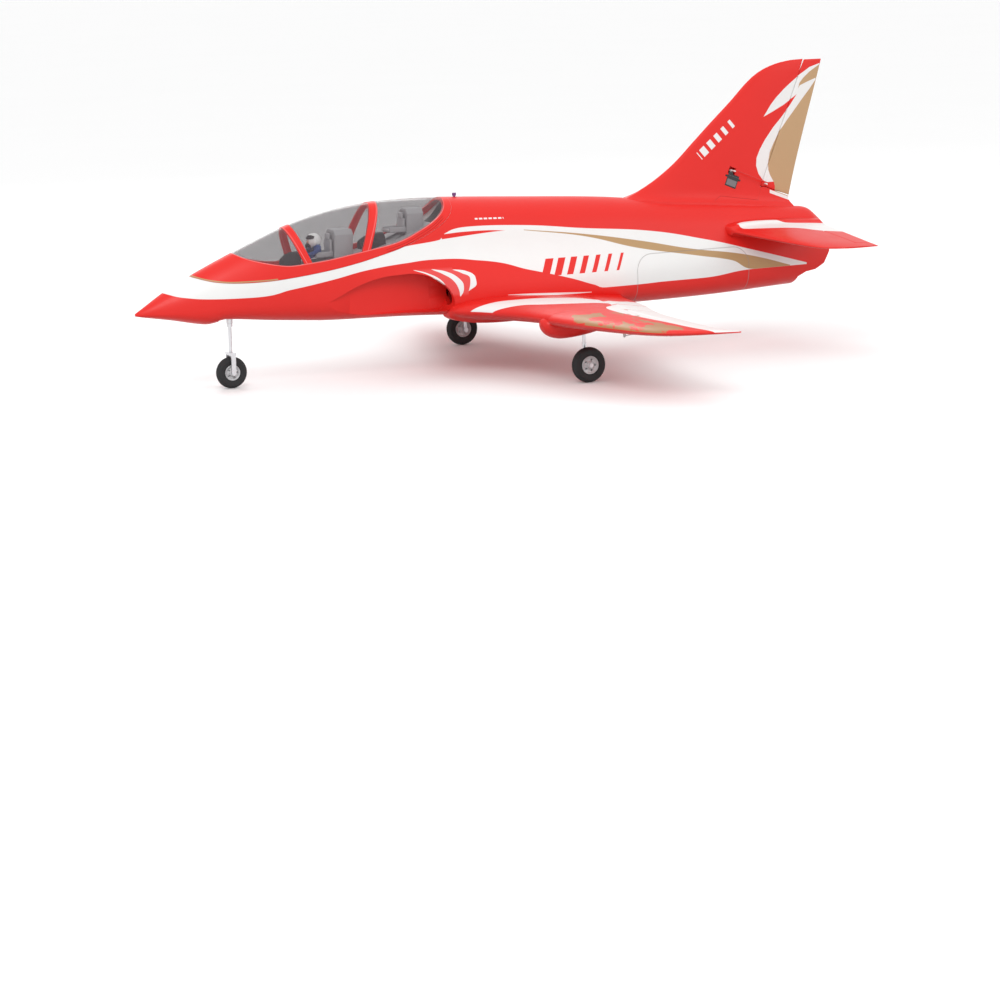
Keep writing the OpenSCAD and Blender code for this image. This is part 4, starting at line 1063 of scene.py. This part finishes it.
def limb(points, radii, name="limb"):
    """A tube of changing girth through a few points."""
    p = np.array(points, float)
    t = np.arange(len(p))
    fine = np.linspace(0, len(p) - 1, 6 * (len(p) - 1) + 1)
    path = np.stack([curve(fine, np.stack([t, p[:, k]], 1)) for k in range(3)], 1)
    girth = curve(fine, np.stack([t, radii], 1))
    along = np.gradient(path, axis=0)
    along /= np.linalg.norm(along, axis=1)[:, None]
    up = np.array([0.3, 0.2, 1.0])
    rings = []
    for c, d, g in zip(path, along, girth):
        u = np.cross(d, up)
        u /= np.linalg.norm(u)
        w = np.cross(d, u)
        a = 2 * np.pi * np.arange(20)[:, None] / 20
        rings.append(c + g * (np.cos(a) * u + np.sin(a) * w))
    return loft(name, rings)


HEAD = (321.0, 0.0, 103.4)


def pilot():
    x, y, z = HEAD
    torso = loft("torso", [[(325 + dx + w * math.cos(a), d * math.sin(a), h) for a in
                            np.radians(np.arange(0, 360, 12))] for h, w, d, dx in (
        (79, 7.5, 10.5, 2), (84, 7.8, 11.5, 1), (90, 8.0, 13.5, 0), (94.5, 7, 15, 0), (97.2, 5, 12, 0),
        (98.6, 3.6, 5, -0.5))])
    arms = [limb([(325, s * 13, 95), (321, s * 16.2, 88), (312, s * 14, 82.5), (303, s * 7, 82)],
                 [3.6, 3.8, 3.0, 2.5]) for s in (-1, 1)]
    legs = [limb([(326, s * 6, 80.5), (314, s * 7.5, 79.2), (303, s * 8, 74)], [4.6, 4.4, 3.4])
            for s in (-1, 1)]
    suit = smooth(join("pilot_suit", [torso] + arms + legs), 50)
    gloves = smooth(join("pilot_gloves", [ball("g", (301.5, s * 5.4, 82), (3.0, 2.6, 2.4), 24)
                                          for s in (-1, 1)]), 50)
    shell = ball("shell", HEAD, (10.6, 9.0, 10.2), 56)
    opening = prism("face_room", [(x - 14, z - 12), (x - 14, z + 2.6), (x - 4.2, z + 2.6), (x - 3.2, z - 3),
                                  (x - 4.5, z - 12)], -6.6, 6.6)
    carve(shell, [opening])
    ridge = lathe("ridge", [(-1.2, 9.9), (-1.2, 10.5), (0, 10.9), (1.2, 10.5), (1.2, 9.9)],
                  (x, y, z), "Y", 56)
    keep = prism("keep", [(x - 20, z + 3.4), (x + 20, z + 3.4), (x + 20, z + 20), (x - 20, z + 20)])
    carve(ridge, [keep], "INTERSECT")
    cups = [ball("cup", (x + 1.2, s * 8.6, z - 1.4), (3.2, 1.5, 3.6), 24) for s in (-1, 1)]
    helmet = smooth(join("pilot_helmet", [smooth(soften(shell, 0.4), 40), ridge] + cups), 45)
    visor = ball("visor", (x - 0.35, 0, z + 0.3), (10.9, 9.25, 10.3), 56)
    lens = prism("lens", [(x - 14, z + 2.8), (x - 14, z + 7.2), (x - 3.2, z + 8.4), (x + 1.4, z + 6.6),
                          (x + 0.2, z + 3.6), (x - 4, z + 2.8)])
    carve(visor, [lens], "INTERSECT")
    visor = smooth(soften(join("pilot_visor", [visor]), 0.3), 45)
    face = smooth(join("pilot_face", [ball("f", (x - 2.2, 0, z - 1.8), (6.6, 5.9, 7.2), 32),
                                      ball("n", (x - 8.7, 0, z - 1.6), (1.1, 0.9, 1.5), 16)]), 60)
    mask = loft("pilot_mask", [[(x - dx, w * math.cos(a), z - 5.4 - drop + w * 0.92 * math.sin(a))
                                for a in np.radians(np.arange(0, 360, 15))] for dx, w, drop in (
        (5.0, 4.6, 0), (8.6, 4.2, 0.3), (10.6, 3.0, 0.9), (11.6, 1.9, 1.4))])
    hose = limb([(x - 9.5, 0, z - 7.5), (x - 9.5, 2.5, z - 11), (x - 6, 6.5, z - 14.5),
                 (x - 1, 10.5, z - 17)], [1.1, 1.1, 1.1, 1.1])
    mask = smooth(join("pilot_mask", [mask, hose]), 50)
    straps = []
    for s in (-1, 1):
        line = [(x + 8.8, s * 7.2, z - 5.5), (x + 1, s * 7.6, z - 5.9), (x - 3.8, s * 7, z - 9.4),
                (x - 4.6, s * 6, z - 15), (x - 3.2, s * 5, z - 21)]
        straps.append(limb(line, [0.9] * 5))
    straps = smooth(join("pilot_harness", straps), 50)
    grow = (Matrix.Translation(row(HEAD)) @ Matrix.Scale(1.24, 4) @ Matrix.Rotation(-0.3, 4, "Z")
            @ Matrix.Translation(-Vector(row(HEAD))))
    for o in (helmet, visor, face, mask):
        move(o, grow)
    return suit, gloves, helmet, visor, face, mask, straps


suit, gloves, helmet, visor, face, mask, straps = pilot()

# ---------------------------------------------------------------- wheels, servos and small parts


def tyre(name, centre, r, rim, half):
    """A rubber tyre with rounded shoulders, moulded sidewall rings and two tread grooves."""
    a = np.radians(np.linspace(-68, 68, 41))
    out = [(half * math.sin(t) / math.sin(math.radians(68)), r - 8 + 8 * math.cos(t)) for t in a]
    profile = [(-half + 2.2, rim + 0.05), (-half + 1.0, rim + 0.5), (-half + 0.5, rim + 1.8)]
    for s, v in out:
        if abs(abs(s) - 2.6) < 0.45:
            v -= 0.7
        if abs(v - (rim + 5.5)) < 0.6:
            s += 0.35 * np.sign(s)
        profile.append((s, v))
    profile += [(half - 0.5, rim + 1.8), (half - 1.0, rim + 0.5), (half - 2.2, rim + 0.05)]
    return smooth(lathe(name, profile, centre, "Y", 128), 28)


def hub(name, centre, rim, half, spokes=5):
    """A dished wheel with a rolled rim, five round windows and a boss round its bore."""
    p = [(-half - 1, 2.06), (-half - 1, 4.6), (-half - 0.4, 5.6), (-half + 0.6, 6.2), (-half + 2.4, 7.0),
         (-half + 3.0, 8.2), (-half + 3.2, rim - 4.2), (-half + 2.6, rim - 3.2), (-half + 1.5, rim - 2.2),
         (-half + 1.1, rim - 0.8), (-half + 1.5, rim - 0.2), (-half + 2.4, rim)]
    profile = p + [(-s, v) for s, v in p[::-1]]
    o = lathe(name, profile, centre, "Y", 112)
    tools = []
    for i in range(spokes):
        t = 2 * math.pi * i / spokes
        c = (centre[0] + (rim + 3) / 2 * math.cos(t), centre[1], centre[2] + (rim + 3) / 2 * math.sin(t))
        tools.append(bar("window", -half - 2, half + 2, 1.8, c, "Y", 28))
    carve(o, tools)
    return smooth(soften(o, 0.18, 2, 50), 35)


def wheel(kind, centre, r, rim, half):
    return tyre("tyre_" + kind, centre, r, rim, half), hub("hub_" + kind, centre, rim, half)


main_tyre, main_hub = wheel("main_right", (GEAR_X, WHEEL_Y, AXLE_Z), 30, 15.5, 9.0)
nose_tyre, nose_hub = wheel("nose", (165, 0, -110), 27, 13.5, 8.5)


def servo_trim(name, at, link):
    """The label, mounting screws, lid line and arm screw of one servo, in its own frame."""
    m = ROW @ at @ at_servo(link)

    def screw(profile, place):
        s = lathe("screw", [(0, 0.01), *profile], (0, 0, 0), "Z", 20)
        return move(s, m @ place @ ROW.inverted())

    label = move(raw("label", (-4.5, -6.25, -26.5), (20, 0.3, 11)), m)
    # Each head stands on the free face of its lug
    lugs = [screw([(0, 1.9), (-0.9, 1.7), (-1.2, 1.0), (-0.7, 0.5), (-0.7, 0.01)],
                  Matrix.Translation((x, 0, -9.9)) @ Matrix.Rotation(math.pi, 4, "X")) for x in (-8.5, 19.5)]
    top = screw([(0, 1.7), (1.0, 1.5), (1.3, 0.9), (0.8, 0.45), (0.8, 0.01)],
                Matrix.Translation((0, 0, 1.0)))
    lid = move(raw("seam", (-6.15, -6.15, -9.2), (23.3, 12.3, 0.35)), m)
    return label, smooth(join(name, lugs), 35), lid, top


def bare_inside(o):
    """Gives the faces inside the body's shell its second finish.

    The scoops, the gear bay and the tail keep the paint.
    """
    c = np.array([p.center for p in o.data.polygons]) * 1000 + np.array([LENGTH / 2, 0, -NOSE_HEIGHT])
    x, y, middle = c[:, 0], np.abs(c[:, 1]), curve(c[:, 0], MIDDLE)
    upper = c[:, 2] > middle
    reach = np.where(upper, curve(x, TOP) - middle, middle - curve(x, BELLY)) - 1.5
    e = np.where(upper, 1, 2 / curve(x, CORNER))
    s = np.clip(np.abs(c[:, 2] - middle) / np.maximum(reach, 0.1), 0, 1) ** (1 / e)
    waist = 1 - curve(x, WAIST) * np.where(upper, np.sin(np.pi * s) ** 2, 0)
    within = y < (curve(x, WIDTH) - 1.5) * (1 - s * s) ** (e / 2) * waist
    # Over the gear bay's roof, then inboard of the scoops' walls, over their roofs or aft of them
    room = np.where(x < 330, c[:, 2] > 35, (y < 43) | (c[:, 2] > 52) | (x > 600))
    o.data.polygons.foreach_set("material_index", (within & room & (x < 1150)).astype(np.int32))


def put(o, body, slot, materials, *nodes):
    """A piece's body, material slot (not used), materials and the CAD nodes that it stands for."""
    clad(o, *[M[m] for m in materials])
    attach(o, body)
    if nodes:
        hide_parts(*nodes)
    return o


def pair(o, name=None):
    """A starboard piece with its port copy, each with its side."""
    o.name = name or o.name
    return ("left", mirrored(o, o.name.replace("_right", "_left"))), ("right", o)


def assemble():
    bare_inside(put(fuselage, "airframe", "shell_red", ["body", "bare"], "fuselage"))
    put(hatch, "hatch", "shell_red", ["hatch"], "hatch_frame")
    put(glass, "hatch", "glass", ["glass"], "canopy_glass")
    # The tint is what the eye sees; it doesn't take the light out of the cockpit
    glass.visible_shadow = glass.visible_diffuse = False
    put(tub_piece, "hatch", "cockpit_grey", ["grey"], "cockpit_tub")
    put(walls, "hatch", "cockpit_grey", ["grey"])
    put(seats, "hatch", "cockpit_grey", ["grey"], "seats")
    put(hoods, "hatch", "panel_black", ["dark"], "instrument_panels")
    put(gauges, "hatch", "panel_black", ["label"])
    put(suit, "hatch", "pilot", ["suit"], "pilot")
    for o, m in ((gloves, "dark"), (helmet, "helmet"), (visor, "visor"), (face, "skin"), (mask, "dark"),
                 (straps, "harness")):
        put(o, "hatch", "pilot", [m])
    put(fin, "airframe", "shell_red", ["fin"], "fin")
    put(rudder, "rudder", "surface_tan", ["fin"], "rudder")
    put(rudder_horn, "rudder", "arm_white", ["arm"])
    for o, kind, m, body in (
            (wing_right, "wing", "wing", "airframe"), (flap_right, "flap", "wing", "flap_{}"),
            (aileron_right, "aileron", "wing", "aileron_{}"), (stab, "stabiliser", "stab", "airframe"),
            (elevator, "elevator", "stab", "elevator_{}")):
        for side, piece in pair(o):
            put(piece, body.format(side), "shell_red", [m], f"{kind}_{side}")
    for o, body in horns:
        for side, piece in pair(o):
            put(piece, f"{body}_{side}", "arm_white", ["arm"])
    for at, link, kind, arm in ((RUDDER_AT, RUDDER_LINK, "rudder", "rudder_arm"),
                                (FLAP_AT, FLAP_LINK, "flap", "flap_arm_{}"),
                                (AILERON_AT, AILERON_LINK, "aileron", "aileron_arm_{}"),
                                (ELEVATOR_AT, ELEVATOR_LINK, "elevator", "elevator_arm_{}")):
        for o, (part, m, body, slot) in zip(servo_trim(kind + "_servo_screws", at, link), (
                ("label", "label", "airframe", "servo"), ("lug_screws", "steel", "airframe", "servo"),
                ("lid_line", "label", "airframe", "servo"), ("arm_screw", "steel", arm, "arm_white"))):
            name = f"{kind}_servo_{part}"
            if kind == "rudder":
                o.name = name
                put(o, body, slot, [m])
                continue
            for side, piece in pair(o, name + "_right"):
                put(piece, body.format(side), slot, [m])
    for o, kind in ((main_tyre, "tyre"), (main_hub, "hub")):
        for side, piece in pair(o):
            put(piece, f"main_wheel_{side}", kind, [kind], f"main_{kind}_{side}")
    put(nose_tyre, "nose_wheel", "tyre", ["tyre"], "nose_tyre")
    put(nose_hub, "nose_wheel", "hub", ["hub"], "nose_hub")


def sided(*names):
    return [f"{name}_{side}" for name in names for side in ("left", "right")]


# The CAD nodes that show as they are
KEPT = {
    "duct": ["exhaust_duct"], "intake": ["intake_ducts"], "fan": ["fan_housing", "fan_rotor"],
    "motor": ["fan_motor"], "servo": ["rudder_servo", "elevator_servos", "wing_servos"],
    "arm": ["rudder_servo_arm", *sided("elevator_arm", "aileron_arm", "flap_arm")],
    "rod_red": ["rudder_pushrod"],
    "steel": sided("elevator_pushrod", "aileron_pushrod", "flap_pushrod"),
    "unit": ["retract_units"], "strut": ["nose_trunnion", "nose_fork", *sided("main_leg")],
    "latch": ["hatch_latch"], "wood": ["battery_tray"], "carbon": ["wing_joiners"],
    "battery": ["battery"], "controller": ["speed_controller"], "receiver": ["receiver"],
}
for m, nodes in KEPT.items():
    for node in nodes:
        clad(NODES[node], M[m])
assemble()

# ---------------------------------------------------------------- floor, light and camera


def stage_floor(name, z, white):
    """A sheet that light and eyes pass through from underneath."""
    f = Finish(name, specular=0.2)
    f.colour((white, white, white), tone=0.01, tone_scale=1.5).rough(0.75, 0.05, 5)
    mix = f.node("MixShader", Fac=f.node("NewGeometry").outputs["Backfacing"])
    links = f.tree.links
    links.new(f.shader.outputs[0], mix.inputs[1])
    links.new(f.node("BsdfTransparent").outputs[0], mix.inputs[2])
    links.new(mix.outputs[0], f.tree.nodes["Material Output"].inputs["Surface"])
    o = make(name, [(x, y, z) for x, y in ((-30, -30), (30, -30), (30, 30), (-30, 30))], [(0, 1, 2, 3)],
             scaled=False)
    clad(o, f.m)
    return o


# What is seen is a white sheet; what lights the belly is a darker one just below it
stage_floor("studio_floor", 0, 0.95).visible_diffuse = False
stage_floor("studio_floor_shade", -0.002, 0.5).visible_camera = False

world = bpy.data.worlds.new("studio")
world.use_nodes = True
sky = world.node_tree.nodes["Background"].inputs
sky["Color"].default_value, sky["Strength"].default_value = (1, 1, 1, 1), 1.02
SCENE.world = world
SCENE.view_settings.view_transform = "Standard"


def area(name, place, target, size, watts):
    lamp = bpy.data.lights.new(name, "AREA")
    lamp.shape, lamp.size, lamp.energy = "DISK", size, watts
    o = bpy.data.objects.new(name, lamp)
    o.location = place
    o.rotation_euler = (Vector(target) - Vector(place)).to_track_quat("-Z", "Y").to_euler()
    SCENE.collection.objects.link(o)


area("key", (-1.6, -2.6, 2.6), (0, 0, 0.15), 1.6, 42)
area("fill", (2.8, -2.4, 1.4), (0.1, 0, 0.15), 2.0, 12)
area("rim", (0.4, 2.8, 2.2), (0, 0, 0.2), 1.8, 22)

lens = bpy.data.cameras.new("camera")
lens.lens, lens.sensor_width = 108, 36
lens.clip_start, lens.clip_end = 0.1, 100
camera = bpy.data.objects.new("camera", lens)
SCENE.collection.objects.link(camera)
RIGHT, UP, BACK = (0.9140, -0.4051, -0.0239), (0.0984, 0.1640, 0.9815), (-0.3937, -0.8995, 0.1897)
PLACE = (-2.0987, -4.7930, 0.7684)
camera.matrix_world = Matrix([*zip(RIGHT, UP, BACK, PLACE), (0, 0, 0, 1)])
SCENE.camera = camera
